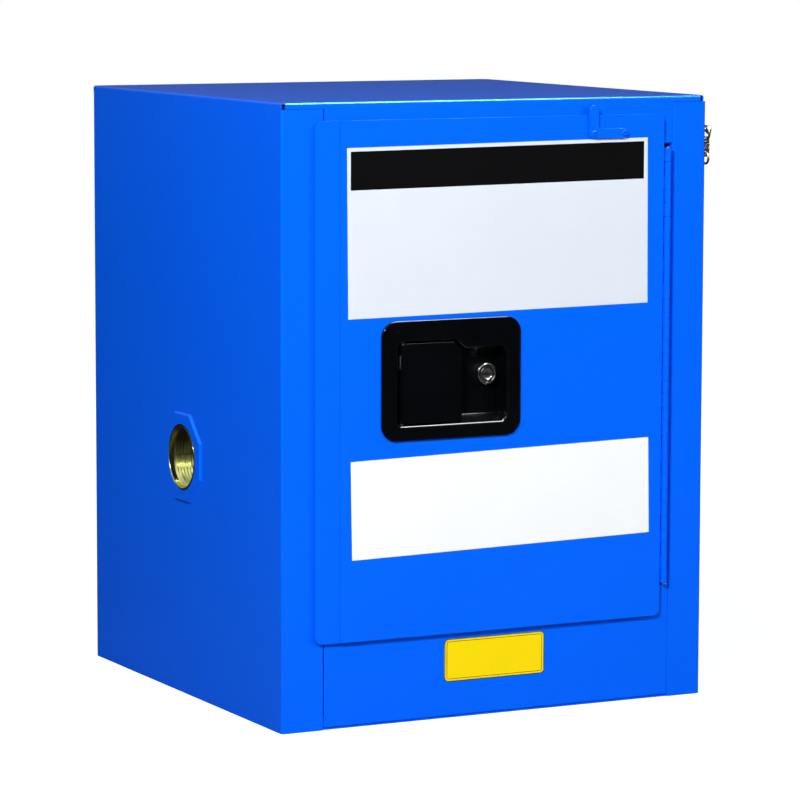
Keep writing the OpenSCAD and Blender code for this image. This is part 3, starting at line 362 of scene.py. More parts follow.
def worked_metal_group():
    """Bare or plated metal: fine lines along one axis, stains and uneven gloss."""
    name = "Worked Metal"
    if name in bpy.data.node_groups:
        return bpy.data.node_groups[name]
    group, inside, outside = new_group(
        name,
        [("Coordinates", "NodeSocketVector", None), ("Colour", "NodeSocketColor", (0.5, 0.5, 0.5, 1)),
         ("Stain", "NodeSocketColor", (0.2, 0.2, 0.2, 1)), ("Roughness", "NodeSocketFloat", 0.3),
         ("Staining", "NodeSocketFloat", 0.2)],
        [("Colour", "NodeSocketColor"), ("Roughness", "NodeSocketFloat"), ("Height", "NodeSocketFloat")],
    )
    where = inside.outputs["Coordinates"]
    lines = noise_node(group, where, 1400.0, 2.0)
    blotch = noise_node(group, where, 70.0, 4.0, 0.6)
    patches = range_node(group, blotch, 0.45, 0.75, 0.0, 1.0)
    amount = math_node(group, "MULTIPLY", patches, inside.outputs["Staining"])
    colour = mix_rgb(group, amount, inside.outputs["Colour"], inside.outputs["Stain"])
    group.links.new(colour, outside.inputs["Colour"])
    rough = math_node(group, "ADD", inside.outputs["Roughness"], range_node(group, blotch, 0.3, 0.7, -0.06, 0.1))
    group.links.new(rough, outside.inputs["Roughness"])
    group.links.new(lines, outside.inputs["Height"])
    return group


def field_group():
    """A mask that is 1 between two slanted lines and two upright edges, on X and Z of the coordinates."""
    name = "Printed Field"
    if name in bpy.data.node_groups:
        return bpy.data.node_groups[name]
    group, inside, outside = new_group(
        name,
        [("Coordinates", "NodeSocketVector", None)] + [(label, "NodeSocketFloat", 0.0) for label in FIELD_EDGES],
        [("Mask", "NodeSocketFloat")],
    )
    split = group.nodes.new("ShaderNodeSeparateXYZ")
    group.links.new(inside.outputs["Coordinates"], split.inputs[0])
    across, up = split.outputs["X"], split.outputs["Z"]
    left, right = inside.outputs["Left"], inside.outputs["Right"]
    low = range_node(
        group, across, left, right, inside.outputs["Left Low"], inside.outputs["Right Low"], clamp=False
    )
    high = range_node(
        group, across, left, right, inside.outputs["Left High"], inside.outputs["Right High"], clamp=False
    )
    mask = math_node(group, "GREATER_THAN", up, low)
    for operation, value, limit in (("LESS_THAN", up, high), ("GREATER_THAN", across, left),
                                    ("LESS_THAN", across, right)):
        mask = math_node(group, "MULTIPLY", mask, math_node(group, operation, value, limit))
    group.links.new(mask, outside.inputs["Mask"])
    return group


def outline_group():
    """A mask that is 1 on a thin line that runs along a rounded rectangle, inset from its edge, on X and Z."""
    name = "Printed Outline"
    if name in bpy.data.node_groups:
        return bpy.data.node_groups[name]
    labels = ("Centre X", "Centre Z", "Half Width", "Half Height", "Corner", "Inset", "Line")
    group, inside, outside = new_group(
        name,
        [("Coordinates", "NodeSocketVector", None)] + [(label, "NodeSocketFloat", 0.0) for label in labels],
        [("Mask", "NodeSocketFloat")],
    )
    split = group.nodes.new("ShaderNodeSeparateXYZ")
    group.links.new(inside.outputs["Coordinates"], split.inputs[0])
    beyond = []
    for axis, centre, half in (("X", "Centre X", "Half Width"), ("Z", "Centre Z", "Half Height")):
        offset = math_node(group, "SUBTRACT", split.outputs[axis], inside.outputs[centre])
        away = math_node(group, "ABSOLUTE", offset)
        core = math_node(group, "SUBTRACT", inside.outputs[half], inside.outputs["Corner"])
        beyond.append(math_node(group, "SUBTRACT", away, core))
    outer = [math_node(group, "POWER", math_node(group, "MAXIMUM", side, 0.0), 2.0) for side in beyond]
    curved = math_node(group, "SQRT", math_node(group, "ADD", *outer))
    straight = math_node(group, "MINIMUM", math_node(group, "MAXIMUM", *beyond), 0.0)
    distance = math_node(group, "SUBTRACT", math_node(group, "ADD", curved, straight), inside.outputs["Corner"])
    off_line = math_node(group, "ABSOLUTE", math_node(group, "ADD", distance, inside.outputs["Inset"]))
    half_line = math_node(group, "MULTIPLY", inside.outputs["Line"], 0.5)
    group.links.new(math_node(group, "LESS_THAN", off_line, half_line), outside.inputs["Mask"])
    return group


# ---------------------------------------------------------------- materials


def blank_material(name):
    """A material with its Principled BSDF and the object's coordinates."""
    material = bpy.data.materials.new(name)
    material.use_nodes = True
    tree = material.node_tree
    shader = tree.nodes["Principled BSDF"]
    where = tree.nodes.new("ShaderNodeTexCoord").outputs["Object"]
    return material, tree, shader, where


def add_group(tree, group, where, **values):
    """Places a shared group; a value's name has underscores for spaces."""
    node = tree.nodes.new("ShaderNodeGroup")
    node.node_tree = group
    tree.links.new(where, node.inputs["Coordinates"])
    for label, value in values.items():
        socket = node.inputs[label.replace("_", " ")]
        socket.default_value = (*value, 1.0) if hasattr(value, "__len__") else value
    return node


def wire_finish(tree, shader, node, bump, depth):
    """Joins a finish group's outputs to the shader."""
    tree.links.new(node.outputs["Colour"], shader.inputs["Base Color"])
    tree.links.new(node.outputs["Roughness"], shader.inputs["Roughness"])
    relief = tree.nodes.new("ShaderNodeBump")
    relief.inputs["Strength"].default_value = bump
    relief.inputs["Distance"].default_value = depth
    tree.links.new(node.outputs["Height"], relief.inputs["Height"])
    tree.links.new(relief.outputs["Normal"], shader.inputs["Normal"])


def paint_material(name, colour, roughness, clouding):
    if name in bpy.data.materials:
        return bpy.data.materials[name]
    material, tree, shader, where = blank_material(name)
    coat = add_group(
        tree, powder_coat_group(), where, Colour=tuple(colour), Roughness=roughness, Clouding=clouding
    )
    wire_finish(tree, shader, coat, 0.06, 0.00004)
    shader.inputs["Specular Tint"].default_value = (0.15, 0.95, 1.0, 1.0)
    return material


def plastic_material(name, colour, roughness, grain, bump, specular=0.5):
    if name in bpy.data.materials:
        return bpy.data.materials[name]
    material, tree, shader, where = blank_material(name)
    moulded = add_group(tree, moulded_group(), where, Colour=tuple(colour), Roughness=roughness, Grain=grain)
    wire_finish(tree, shader, moulded, bump, 0.00005)
    shader.inputs["Specular IOR Level"].default_value = specular
    return material


def metal_material(name, colour, stain_and_shade, roughness, staining, bump=0.1, stretch=(1, 1, 1), painted_top_shade=None):
    """Worked metal. Stretch packs its marks along an axis; the last argument gives the heights between which the
    colour darkens towards the stain colour, a painted shade on the upper part.
    """
    if name in bpy.data.materials:
        return bpy.data.materials[name]
    material, tree, shader, place = blank_material(name)
    packed = tree.nodes.new("ShaderNodeVectorMath")
    packed.operation = "MULTIPLY"
    packed.inputs[1].default_value = stretch
    tree.links.new(place, packed.inputs[0])
    worked = add_group(
        tree, worked_metal_group(), packed.outputs["Vector"], Colour=tuple(colour), Stain=stain_and_shade,
        Roughness=roughness, Staining=staining,
    )
    wire_finish(tree, shader, worked, bump, 0.00003)
    # Painted shade: the colour darkens towards the stain colour between the given heights, so the upper part looks
    # shaded.
    if painted_top_shade:
        split = tree.nodes.new("ShaderNodeSeparateXYZ")
        tree.links.new(place, split.inputs[0])
        amount = range_node(tree, split.outputs["Z"], *painted_top_shade, 0.0, TOP_SHADE_DARKENING)
        colour = mix_rgb(tree, amount, worked.outputs["Colour"], (*stain_and_shade, 1.0))
        tree.links.new(colour, shader.inputs["Base Color"])
    shader.inputs["Metallic"].default_value = 1.0
    return material


def film_material(name, ground, bands=(), rings=()):
    """Printed film: each band is (colour, left, right, left low, left high, right low, right high)."""
    if name in bpy.data.materials:
        return bpy.data.materials[name]
    material, tree, shader, where = blank_material(name)
    base = add_group(tree, moulded_group(), where, Colour=tuple(ground), Roughness=0.26, Grain=1500.0, Mottle=0.02)
    wire_finish(tree, shader, base, 0.03, 0.00002)
    colour = base.outputs["Colour"]
    for ink, *edges in bands:
        mask = add_group(tree, field_group(), where)
        for label, value in zip(FIELD_EDGES, edges):
            mask.inputs[label].default_value = value
        colour = mix_rgb(tree, mask.outputs["Mask"], colour, tuple(ink))
    for ring in rings:
        mask = add_group(tree, outline_group(), where, **ring)
        colour = mix_rgb(tree, mask.outputs["Mask"], colour, OUTLINE_INK)
    tree.links.new(colour, shader.inputs["Base Color"])
    shader.inputs["Specular IOR Level"].default_value = 0.25
    return material


def blue_paint():
    return paint_material("cabinet paint", colours().paint, 0.26, 0.02)


def inside_paint():
    return paint_material("liner paint", colours().paint_inside, 0.38, 0.06)


def black_moulding():
    return plastic_material("black moulding", colours().tray_black, 0.16, 1400.0, 0.02, 0.35)


def white_poly():
    return plastic_material("white polyethylene", (0.8, 0.81, 0.79), 0.45, 500.0, 0.15)


def zinc_plate():
    return metal_material("zinc plate", colours().zinc, (0.35, 0.36, 0.38), 0.32, 0.5)


def chrome_plate():
    return metal_material("chrome plate", (0.78, 0.79, 0.8), (0.5, 0.5, 0.52), 0.07, 0.1, 0.02)


def turned_brass():
    # The bungs' colour is darkened towards the tops of their bores: painted shade.
    return metal_material("turned brass", colours().brass, (0.04, 0.045, 0.006), 0.18, 1.0,
                          stretch=(8, 0.7, 0.7), painted_top_shade=(0.218, 0.236))


def dull_bronze():
    return metal_material("dull bronze", (0.42, 0.34, 0.24), (0.15, 0.12, 0.08), 0.3, 0.6)


def dark_screen():
    return metal_material("dark screen", (0.09, 0.085, 0.07), (0.03, 0.03, 0.025), 0.5, 0.5)


# ---------------------------------------------------------------- mesh helpers


def finish_piece(bm, name, body, material, replaced=(), sharp=SHARP_ANGLE):
    """Turns a bmesh into a piece that rides on a body, shows a material and stands for some nodes."""
    mesh = bpy.data.meshes.new(name)
    bm.to_mesh(mesh)
    bm.free()
    piece = bpy.data.objects.new(name, mesh)
    bpy.context.scene.collection.objects.link(piece)
    mesh.materials.append(material)
    mesh.shade_smooth()
    mesh.set_sharp_from_angle(angle=sharp)
    weighted = piece.modifiers.new("Weighted Normal", "WEIGHTED_NORMAL")
    weighted.mode = "FACE_AREA"
    weighted.weight = 100
    weighted.keep_sharp = True
    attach(piece, body)
    if replaced:
        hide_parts(*replaced)


def node_copy(node):
    """A bmesh of a node's solid with its triangles merged into flat faces."""
    bm = bmesh.new()
    bm.from_mesh(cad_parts[node].data)
    bmesh.ops.remove_doubles(bm, verts=bm.verts, dist=2e-6)
    bmesh.ops.dissolve_limit(
        bm, angle_limit=math.radians(0.6), use_dissolve_boundaries=False, verts=bm.verts, edges=bm.edges
    )
    return bm


def round_edges(bm, width, segments=2, least=35.0, chosen=None, hollow=False):
    """Rounds the outward edges that turn by more than `least` degrees, or the inward ones."""
    sign = -1 if hollow else 1
    edges = [
        e for e in bm.edges
        if len(e.link_faces) == 2 and sign * e.calc_face_angle_signed(0.0) > math.radians(least)
        and (chosen is None or chosen(e))
    ]
    if edges:
        bmesh.ops.bevel(
            bm, geom=edges, offset=width, offset_type="OFFSET", affect="EDGES", segments=segments, profile=0.5,
            material=-1, clamp_overlap=True,
        )


def softened(name, node, body, material, width, segments=2, least=35.0):
    """A node's solid with its outward edges rounded, shown in the node's place."""
    bm = node_copy(node)
    round_edges(bm, width, segments, least)
    finish_piece(bm, name, body, material, (node,))


def paint_node(node, material):
    """Gives a carried-over node its finish."""
    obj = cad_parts[node]
    for slot in obj.material_slots:
        slot.material = material


def axis_turn(axis):
    """The rotation that takes +Z to an axis."""
    return Vector((0, 0, 1)).rotation_difference(Vector(axis)).to_matrix().to_4x4()


def turn_profile(bm, profile, centre, axis, closed=True, steps=TURN_STEPS):
    """Spins (radius, distance) points round an axis through a centre."""
    points = [bm.verts.new((r, 0, d)) for r, d in profile]
    pairs = list(zip(points, points[1:]))
    if closed:
        pairs.append((points[-1], points[0]))
    lines = [bm.edges.new(pair) for pair in pairs]
    bmesh.ops.spin(
        bm, geom=points + lines, cent=(0, 0, 0), axis=(0, 0, 1), dvec=(0, 0, 0), angle=math.tau, steps=steps,
        use_merge=True, use_duplicate=False,
    )
    verts = set(points)
    grown = True
    while grown:
        fresh = {e.other_vert(v) for v in verts for e in v.link_edges} - verts
        verts |= fresh
        grown = bool(fresh)
    verts = list(verts)
    bmesh.ops.remove_doubles(bm, verts=verts, dist=1e-7)
    verts = [v for v in verts if v.is_valid]
    faces = {f for v in verts for f in v.link_faces}
    bmesh.ops.recalc_face_normals(bm, faces=list(faces))
    bmesh.ops.transform(bm, matrix=Matrix.Translation(Vector(centre)) @ axis_turn(axis), verts=verts)


def middle(node):
    lo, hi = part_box(node)
    return (Vector(lo) + Vector(hi)) / 2


# ---------------------------------------------------------------- operators


class CABINET_OT_shell(bpy.types.Operator):
    """Paint the outer shell and round its folded edges"""

    bl_idname = "cabinet.shell"
    bl_label = "Outer shell"

    hole_limit = 0.034

    def execute(self, context):
        paint = blue_paint()
        edge = sizes().sheet_round
        for name, node in (("roof", "outer_top_panel"), ("sill", "sill_panel"), ("rear_wall", "outer_back_panel"),
                           ("underside", "outer_bottom_panel")):
            softened(name, node, "cabinet", paint, edge)
        for name, node, side in (("left_wall", "outer_left_panel", -1), ("right_wall", "outer_right_panel", 1)):
            bm = node_copy(node)
            wall = max(side * corner.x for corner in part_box("outer_top_panel"))
            vent = middle("vent_bung_left")

            def on_boss(e):
                reach = max(math.hypot(v.co.y - vent.y, v.co.z - vent.z) for v in e.verts)
                return reach > self.hole_limit and all(side * v.co.x > wall - ON_FACE for v in e.verts)

            round_edges(bm, sizes().boss_round, 3, 20, on_boss, hollow=True)
            round_edges(bm, sizes().boss_round / 2, 2, 20, on_boss)
            round_edges(bm, edge, 2, 35, lambda e: not on_boss(e))
            finish_piece(bm, name, "cabinet", paint, (node,))
        return {"FINISHED"}


class CABINET_OT_liner(bpy.types.Operator):
    """Paint the liner and finish the strike and the shelf clips"""

    bl_idname = "cabinet.liner"
    bl_label = "Liner"

    def execute(self, context):
        for node in ("liner_left", "liner_right", "liner_top", "liner_back", "liner_floor"):
            paint_node(node, inside_paint())
        fittings = (("strike", "strike_plate"), ("clips", "shelf_clips"), ("strike_fixings", "strike_nuts"))
        for name, node in fittings:
            softened(name, node, "cabinet", zinc_plate(), sizes().fitting_round)
        for node in ("vent_sleeve_left", "vent_sleeve_right"):
            paint_node(node, zinc_plate())
        return {"FINISHED"}


class CABINET_OT_vents(bpy.types.Operator):
    """Turn the vents' threaded bungs, with their eight-sided heads, and darken the arresters"""

    bl_idname = "cabinet.vents"
    bl_label = "Vents"

    bore = 0.0283
    wall = 0.004
    lip = 0.0014
    head = 0.004
    mouth_step = 0.0024
    thread_start = 0.0018
    thread_margin = 0.0035
    thread_overlap = 0.0001

    def execute(self, context):
        for side, label in ((-1, "left"), (1, "right")):
            node = "vent_bung_" + label
            lo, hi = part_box(node)
            place = middle(node)
            length = hi.x - lo.x
            inner = (hi.x if side < 0 else lo.x, place.y, place.z)
            bm = bmesh.new()
            self.turn_bung(bm, inner, side, length)
            self.cut_thread(bm, inner, side, length)
            finish_piece(bm, "bung_" + label, "cabinet", turned_brass(), (node,), math.radians(80))
            # The head, whose front is the floor of the groove round the mouth, takes the arresters' dark finish:
            # partly dark steel, partly a painted shade in that groove.
            bm = self.eight_sided_head(hi.z - lo.z)
            turn = Matrix.Translation(Vector(inner)) @ axis_turn((side, 0, 0))
            bmesh.ops.transform(
                bm, matrix=turn @ Matrix.Translation((0, 0, length - self.lip - self.head)), verts=bm.verts
            )
            finish_piece(bm, "bung_head_" + label, "cabinet", dark_screen())
        for node in ("flame_arrester_left", "flame_arrester_right"):
            paint_node(node, dark_screen())
        return {"FINISHED"}

    def turn_bung(self, bm, inner, side, length):
        """The tube, and its mouth set in from the wall's hole by a dark groove."""
        tube = self.bore + self.wall
        mouth = self.bore + self.mouth_step - sizes().bung_groove
        profile = [
            (self.bore, 0.0), (tube, 0.0), (tube, length - self.lip - self.head), (mouth, length - self.lip),
            (mouth, length - 0.0004), (mouth - 0.0003, length), (self.bore + 0.0003, length),
            (self.bore, length - 0.0005),
        ]
        turn_profile(bm, profile, inner, (side, 0, 0))

    def cut_thread(self, bm, inner, side, length):
        """A rounded ridge that winds along the bore, from near its inner end to its mouth."""
        pitch, depth = sizes().thread_pitch, sizes().thread_depth
        turns = int((length - self.thread_margin) / pitch)
        root = self.bore + self.thread_overlap
        ridge = bmesh.new()
        profile = [
            (root, -0.48 * pitch), (self.bore - 0.55 * depth, -0.22 * pitch),
            (self.bore - depth, 0.0), (self.bore - 0.55 * depth, 0.22 * pitch), (root, 0.48 * pitch),
        ]
        points = [ridge.verts.new((r, 0, d)) for r, d in profile]
        face = ridge.faces.new(points)
        bmesh.ops.spin(
            ridge, geom=[face, *face.edges, *points], cent=(0, 0, 0), axis=(0, 0, 1),
            dvec=(0, 0, pitch / TURN_STEPS), angle=math.tau * turns, steps=TURN_STEPS * turns,
            use_merge=False, use_duplicate=False,
        )
        bmesh.ops.recalc_face_normals(ridge, faces=ridge.faces)
        start = Matrix.Translation((0, 0, self.thread_start))
        bmesh.ops.transform(
            ridge, matrix=Matrix.Translation(Vector(inner)) @ axis_turn((side, 0, 0)) @ start, verts=ridge.verts
        )
        scratch = bpy.data.meshes.new("ridge")
        ridge.to_mesh(scratch)
        ridge.free()
        bm.from_mesh(scratch)
        bpy.data.meshes.remove(scratch)

    def eight_sided_head(self, flats):
        """A plate with eight sides and a round hole, standing on z = 0."""
        bm = bmesh.new()
        rim = bmesh.ops.create_circle(bm, segments=8, radius=flats / 2 / math.cos(math.pi / 8))["verts"]
        bmesh.ops.rotate(bm, cent=(0, 0, 0), matrix=Matrix.Rotation(math.pi / 8, 3, "Z"), verts=rim)
        bmesh.ops.create_circle(bm, segments=TURN_STEPS, radius=self.bore + self.wall / 2)
        plate = bmesh.ops.bridge_loops(bm, edges=bm.edges)["faces"]
        raised = bmesh.ops.extrude_face_region(bm, geom=plate)["geom"]
        top = [v for v in raised if isinstance(v, bmesh.types.BMVert)]
        bmesh.ops.translate(bm, vec=(0, 0, self.head), verts=top)
        bmesh.ops.recalc_face_normals(bm, faces=bm.faces)
        return bm


class CABINET_OT_hinge(bpy.types.Operator):
    """Paint the hinge's leaves and plate its pin"""

    bl_idname = "cabinet.hinge"
    bl_label = "Hinge"

    def execute(self, context):
        for node in ("hinge_frame_leaf", "hinge_door_leaf"):
            paint_node(node, blue_paint())
        paint_node("hinge_pin", zinc_plate())
        return {"FINISHED"}


class CABINET_OT_door(bpy.types.Operator):
    """Round the door skin's rolled edge and paint the door"""

    bl_idname = "cabinet.door"
    bl_label = "Door"

    def execute(self, context):
        softened("door_front", "door_skin", "door", blue_paint(), sizes().door_round, 3, 30)
        softened("door_back", "door_inner_pan", "door", inside_paint(), sizes().pan_round)
        paint_node("door_stiffener", zinc_plate())
        return {"FINISHED"}


class CABINET_OT_bracket(bpy.types.Operator):
    """Round the hold-open bracket and turn its domed screws"""

    bl_idname = "cabinet.bracket"
    bl_label = "Hold-open bracket"

    def execute(self, context):
        edge = sizes().bracket_round
        softened("hold_open_bar", "hold_open_bracket", "door", blue_paint(), edge, 3)
        lo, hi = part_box("bracket_screws")
        radius = (hi.z - lo.z) / 2
        head, shank, recess = 0.0018, 0.0015, 0.0015
        tail = hi.y - lo.y - head
        bm = bmesh.new()
        for x in (lo.x + radius, hi.x - radius):
            dome = [
                (0.0, head - recess), (recess, head - recess), (recess + 0.0002, head - 0.0001),
                (recess + 0.0006, head - 0.00015),
                (radius * 0.8, head * 0.62), (radius * 0.96, head * 0.3), (radius, 0.0), (shank, 0.0),
                (shank, -tail), (0.0, -tail),
            ]
            turn_profile(bm, dome, (x, lo.y + head, lo.z + radius), (0, -1, 0), closed=False, steps=40)
        finish_piece(bm, "domed_screws", "door", blue_paint(), ("bracket_screws",))
        return {"FINISHED"}


class CABINET_OT_handle(bpy.types.Operator):
    """Round the handle tray and the paddle"""

    bl_idname = "cabinet.handle"
    bl_label = "Handle"

    def execute(self, context):
        lo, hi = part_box("handle_tray")
        rim, skin, floor = 0.009, 0.0028, 0.0167

        def on_face(edge):
            return all(abs(v.co.y - lo.y) < ON_FACE for v in edge.verts)

        def round_pocket(edge):
            return on_face(edge) and all(
                lo.x + rim < v.co.x < hi.x - rim and lo.z + rim < v.co.z < hi.z - rim for v in edge.verts
            )

        def in_pocket(edge):
            return all(lo.y + skin < v.co.y < lo.y + floor for v in edge.verts)

        bm = node_copy("handle_tray")
        round_edges(bm, sizes().dish_round, 5, 20, round_pocket)
        round_edges(bm, sizes().tray_round, 3, 40, on_face)
        round_edges(bm, sizes().pocket_round, 3, 25, in_pocket, hollow=True)
        finish_piece(bm, "moulded_tray", "door", black_moulding(), ("handle_tray",))
        edge = sizes().paddle_round
        softened("paddle", "handle_paddle", "paddle", black_moulding(), edge, 3, 20)
        for node in ("tray_nuts", "paddle_pin", "paddle_spring"):
            paint_node(node, zinc_plate())
        return {"FINISHED"}


class CABINET_OT_lock(bpy.types.Operator):
    """Turn the lock's bezel and its plug with the key slot"""

    bl_idname = "cabinet.lock"
    bl_label = "Lock"

    def execute(self, context):
        lo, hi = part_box("lock_body")
        place = middle("lock_body")
        plug_lo, plug_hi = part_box("lock_plug")
        plug = (plug_hi.x - plug_lo.x) / 2
        collar = (hi.x - lo.x) / 2
        barrel, shank, bore = 0.0088, 0.008, plug + 0.00005
        proud, bezel = 0.008, sizes().bezel
        front = hi.y - lo.y
        floor = front - proud
        profile = [
            (bore, 0.0), (shank, 0.0), (shank, floor), (barrel, floor), (barrel, front - bezel),
            (collar - 0.0004, front - bezel), (collar, front - bezel + 0.0004), (collar, front - 0.0009),
            (collar - 0.0003, front - 0.0003), (collar - 0.0009, front), (collar - 0.0019, front),
            (collar - 0.0025, front - 0.0007), (bore, front - 0.0007),
        ]
        bm = bmesh.new()
        turn_profile(bm, profile, (place.x, hi.y, place.z), (0, -1, 0))
        finish_piece(bm, "lock_bezel", "door", chrome_plate(), ("lock_body",))

        plug_front = plug_hi.y - plug_lo.y
        dish = [
            (0.0, 0.0), (plug, 0.0), (plug, plug_front - 0.0004), (plug - 0.0004, plug_front),
            (plug - 0.0011, plug_front), (plug - 0.0015, plug_front - 0.0004), (0.0022, plug_front - 0.0008),
            (0.0, plug_front - 0.0008),
        ]
        bm = bmesh.new()
        turn_profile(bm, dish, (place.x, plug_hi.y, place.z), (0, -1, 0), closed=False)
        # The key slot's raised shutter
        half = sizes().key_slot / 2
        made = bmesh.ops.create_cube(bm, size=1.0)
        bmesh.ops.scale(bm, vec=(0.0013, 0.0009, 2 * half), verts=made["verts"])
        bmesh.ops.translate(bm, vec=(place.x, plug_lo.y + 0.0009, place.z), verts=made["verts"])
        edges = {e for v in made["verts"] for e in v.link_edges}
        bmesh.ops.bevel(
            bm, geom=list(edges), offset=0.0003, offset_type="OFFSET", affect="EDGES", segments=2, profile=0.5,
            material=-1, clamp_overlap=True,
        )
        finish_piece(bm, "key_plug", "lock", chrome_plate(), ("lock_plug",))
        softened("cam", "lock_cam", "lock", zinc_plate(), sizes().fitting_round)
        softened("cam_fixing", "cam_screw", "lock", zinc_plate(), sizes().fitting_round)
        softened("shank_nut", "lock_nut", "door", zinc_plate(), sizes().plate_round)
        return {"FINISHED"}


class CABINET_OT_latch(bpy.types.Operator):
    """Round the latch bolt and its case"""

    bl_idname = "cabinet.latch"
    bl_label = "Latch"

    def execute(self, context):
        softened("bolt", "latch_bolt", "latch", zinc_plate(), sizes().plate_round)
        softened("bolt_case", "latch_case", "door", zinc_plate(), sizes().fitting_round)
        paint_node("latch_spring", zinc_plate())
        return {"FINISHED"}


class CABINET_OT_link(bpy.types.Operator):
    """Finish the fusible link on the right wall"""

    bl_idname = "cabinet.link"
    bl_label = "Fusible link"

    def execute(self, context):
        paint_node("link_upper_ring", dull_bronze())
        paint_node("link_lower_ring", dull_bronze())
        paint_node("link_stud", zinc_plate())
        softened("ribbed_strip", "fusible_strip", "link_strip", dull_bronze(), sizes().strip_round)
        return {"FINISHED"}


class CABINET_OT_inside(bpy.types.Operator):
    """Finish the shelf and the lift-out trays"""

    bl_idname = "cabinet.inside"
    bl_label = "Shelf and trays"

    def execute(self, context):
        softened("shelf_plate", "shelf", "shelf", inside_paint(), sizes().plate_round)
        for name, node in (("upper_liner_tray", "shelf_tray"), ("lower_liner_tray", "sump_tray")):
            softened(name, node, node, white_poly(), sizes().liner_tray_round, 3)
        return {"FINISHED"}


class CABINET_OT_films(bpy.types.Operator):
    """Finish the blank films on the door and below it"""

    bl_idname = "cabinet.films"
    bl_label = "Films"

    def execute(self, context):
        palette = colours()
        lo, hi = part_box("upper_label")
        slope = math.tan(sizes().film_tilt)
        margin, top_gap, band_height = 0.0036, 0.0033, 0.0342
        left, right = lo.x + margin, hi.x - 0.0015 - margin
        high = hi.z - top_gap
        left_high = high - slope * (right - left)
        band = (palette.film_black, left, right, left_high - band_height, left_high, high - band_height, high)
        # The upper film takes the darker white, a painted shade.
        paint_node("upper_label", film_material("upper film", palette.film_white_painted_shade, bands=[band]))
        paint_node("lower_label", film_material("lower film", palette.film_bright))
        lo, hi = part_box("sill_label")
        outline = dict(
            Centre_X=(lo.x + hi.x) / 2, Centre_Z=(lo.z + hi.z) / 2, Half_Width=(hi.x - lo.x) / 2,
            Half_Height=(hi.z - lo.z) / 2, Corner=0.004,
        )
        rings = [dict(outline, Inset=0.0003, Line=0.0006), dict(outline, Inset=0.0024, Line=0.0005)]
        paint_node("sill_label", film_material("yellow film", palette.film_yellow, rings=rings))
        return {"FINISHED"}


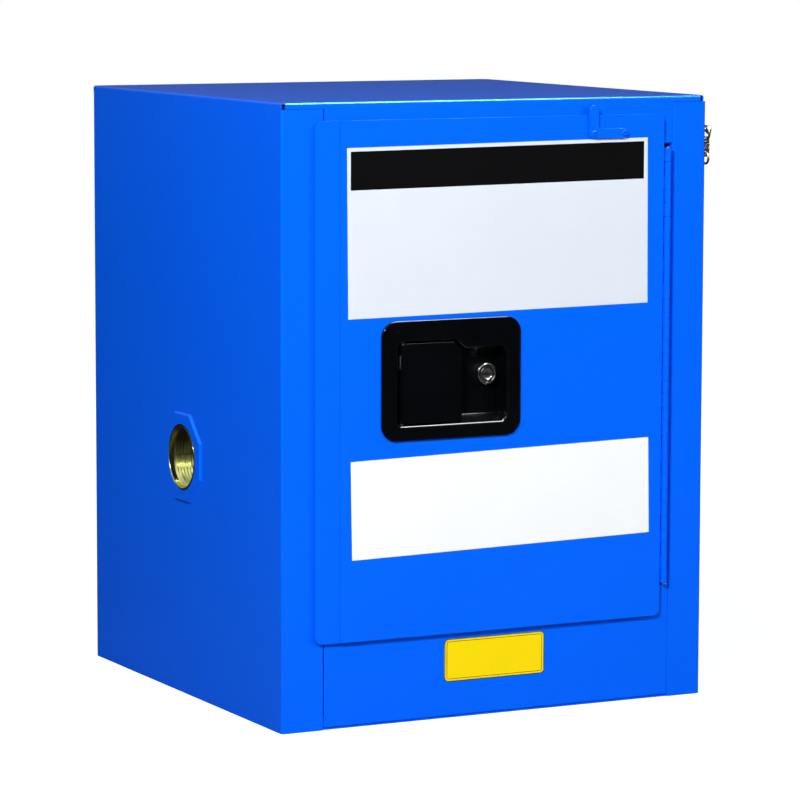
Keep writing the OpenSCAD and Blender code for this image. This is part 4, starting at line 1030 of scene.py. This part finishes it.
class CABINET_OT_stage(bpy.types.Operator):
    """Set the floor, the lamps, the surroundings and the camera"""

    bl_idname = "cabinet.stage"
    bl_label = "Stage"

    def execute(self, context):
        scene = context.scene
        settings = studio()
        self.floor(scene)
        self.surroundings(scene, settings)
        body = (0.0, -0.1, 0.3)
        vent = (-0.216, 0.0, 0.2225)
        self.lamp(scene, "key light", (-1.4, -1.66, 1.5), body, 0.3, settings.key_power)
        self.lamp(scene, "right light", (1.0, -1.6, 1.1), body, 0.6, settings.right_power, glossy=False)
        self.lamp(scene, "side light", (-0.75, -0.2, 0.95), vent, 0.55, settings.side_power)
        self.lamp(scene, "back light", (0.9, 1.9, 1.1), body, 1.0, settings.back_power, glossy=False)
        self.lamp(scene, "edge light", (0.5, -0.7, 2.1), body, 1.1, settings.edge_power, diffuse=False)
        data = bpy.data.cameras.new("camera")
        data.sensor_width = 36.0
        data.lens = settings.lens
        data.clip_start, data.clip_end = 0.1, 50.0
        camera = bpy.data.objects.new("camera", data)
        camera.location = settings.camera_place
        camera.rotation_euler = settings.camera_turn
        scene.collection.objects.link(camera)
        scene.camera = camera
        scene.view_settings.view_transform = "Standard"
        return {"FINISHED"}

    def floor(self, scene):
        bm = bmesh.new()
        bmesh.ops.create_grid(bm, x_segments=1, y_segments=1, size=12.0)
        mesh = bpy.data.meshes.new("floor")
        bm.to_mesh(mesh)
        bm.free()
        floor = bpy.data.objects.new("floor", mesh)
        scene.collection.objects.link(floor)
        material = bpy.data.materials.new("studio floor")
        material.use_nodes = True
        tree = material.node_tree
        tree.nodes.clear()
        path = tree.nodes.new("ShaderNodeLightPath")
        shown = math_node(tree, "MAXIMUM", path.outputs["Is Camera Ray"], path.outputs["Is Transmission Ray"])
        diffuse = tree.nodes.new("ShaderNodeBsdfDiffuse")
        diffuse.inputs["Color"].default_value = (0.4, 0.4, 0.4, 1)
        glow = tree.nodes.new("ShaderNodeEmission")
        reach = tree.nodes.new("ShaderNodeVectorMath")
        reach.operation = "LENGTH"
        tree.links.new(tree.nodes.new("ShaderNodeTexCoord").outputs["Object"], reach.inputs[0])
        white = range_node(tree, reach.outputs["Value"], 0.3, 2.5, 0.86, 1.0)
        tree.links.new(mix_value(tree, shown, 0.0, white), glow.inputs["Strength"])
        dark = tree.nodes.new("ShaderNodeBsdfDiffuse")
        dark.inputs["Color"].default_value = (0.05, 0.05, 0.05, 1)
        both = tree.nodes.new("ShaderNodeAddShader")
        picked = tree.nodes.new("ShaderNodeMixShader")
        out = tree.nodes.new("ShaderNodeOutputMaterial")
        tree.links.new(diffuse.outputs[0], both.inputs[0])
        tree.links.new(glow.outputs[0], both.inputs[1])
        tree.links.new(path.outputs["Is Glossy Ray"], picked.inputs[0])
        tree.links.new(both.outputs[0], picked.inputs[1])
        tree.links.new(dark.outputs[0], picked.inputs[2])
        tree.links.new(picked.outputs[0], out.inputs["Surface"])
        mesh.materials.append(material)

    def surroundings(self, scene, settings):
        world = bpy.data.worlds.new("studio")
        scene.world = world
        world.use_nodes = True
        tree = world.node_tree
        background = tree.nodes["Background"]
        path = tree.nodes.new("ShaderNodeLightPath")
        shown = math_node(tree, "MAXIMUM", path.outputs["Is Camera Ray"], path.outputs["Is Transmission Ray"])
        split = tree.nodes.new("ShaderNodeSeparateXYZ")
        tree.links.new(tree.nodes.new("ShaderNodeTexCoord").outputs["Generated"], split.inputs[0])
        sky = range_node(tree, split.outputs["Z"], 0.15, 0.9, settings.horizon_glow, 0.8)
        strength = mix_value(tree, path.outputs["Is Glossy Ray"], settings.fill, sky)
        strength = mix_value(tree, shown, strength, 1.0)
        background.inputs["Color"].default_value = (1, 1, 1, 1)
        tree.links.new(strength, background.inputs["Strength"])

    def lamp(self, scene, name, place, target, size, power, glossy=True, diffuse=True):
        data = bpy.data.lights.new(name, "AREA")
        data.shape = "DISK"
        data.size = size
        data.energy = power
        lamp = bpy.data.objects.new(name, data)
        lamp.location = place
        lamp.visible_glossy = glossy
        lamp.visible_diffuse = diffuse
        lamp.rotation_euler = (Vector(target) - Vector(place)).to_track_quat("-Z", "Y").to_euler()
        scene.collection.objects.link(lamp)


def mix_value(tree, factor, first, second):
    """factor 0 gives the first value, factor 1 the second."""
    return range_node(tree, factor, 0.0, 1.0, first, second)


OPERATORS = (
    CABINET_OT_shell, CABINET_OT_liner, CABINET_OT_vents, CABINET_OT_hinge, CABINET_OT_door, CABINET_OT_bracket,
    CABINET_OT_handle, CABINET_OT_lock, CABINET_OT_latch, CABINET_OT_link, CABINET_OT_inside, CABINET_OT_films,
    CABINET_OT_stage,
)


class CABINET_PT_sidebar(bpy.types.Panel):
    """The cabinet's sizes, colours and steps"""

    bl_label = "Acid safety cabinet"
    bl_idname = "CABINET_PT_sidebar"
    bl_space_type = "VIEW_3D"
    bl_region_type = "UI"
    bl_category = "Cabinet"

    def draw(self, context):
        layout = self.layout
        for group in (context.scene.cabinet_sizes, context.scene.cabinet_colours, context.scene.cabinet_studio):
            box = layout.box()
            for name in group.bl_rna.properties.keys():
                if name not in ("rna_type", "name"):
                    box.prop(group, name)
        for operator in OPERATORS:
            layout.operator(operator.bl_idname)


CLASSES = (CabinetSizes, CabinetColours, CabinetStudio, *OPERATORS, CABINET_PT_sidebar)


def register():
    for item in CLASSES:
        bpy.utils.register_class(item)
    bpy.types.Scene.cabinet_sizes = PointerProperty(type=CabinetSizes)
    bpy.types.Scene.cabinet_colours = PointerProperty(type=CabinetColours)
    bpy.types.Scene.cabinet_studio = PointerProperty(type=CabinetStudio)


def unregister():
    del bpy.types.Scene.cabinet_studio
    del bpy.types.Scene.cabinet_colours
    del bpy.types.Scene.cabinet_sizes
    for item in reversed(CLASSES):
        bpy.utils.unregister_class(item)


def main():
    register()
    for operator in OPERATORS:
        group, name = operator.bl_idname.split(".")
        getattr(getattr(bpy.ops, group), name)()


if __name__ == "__main__":
    main()
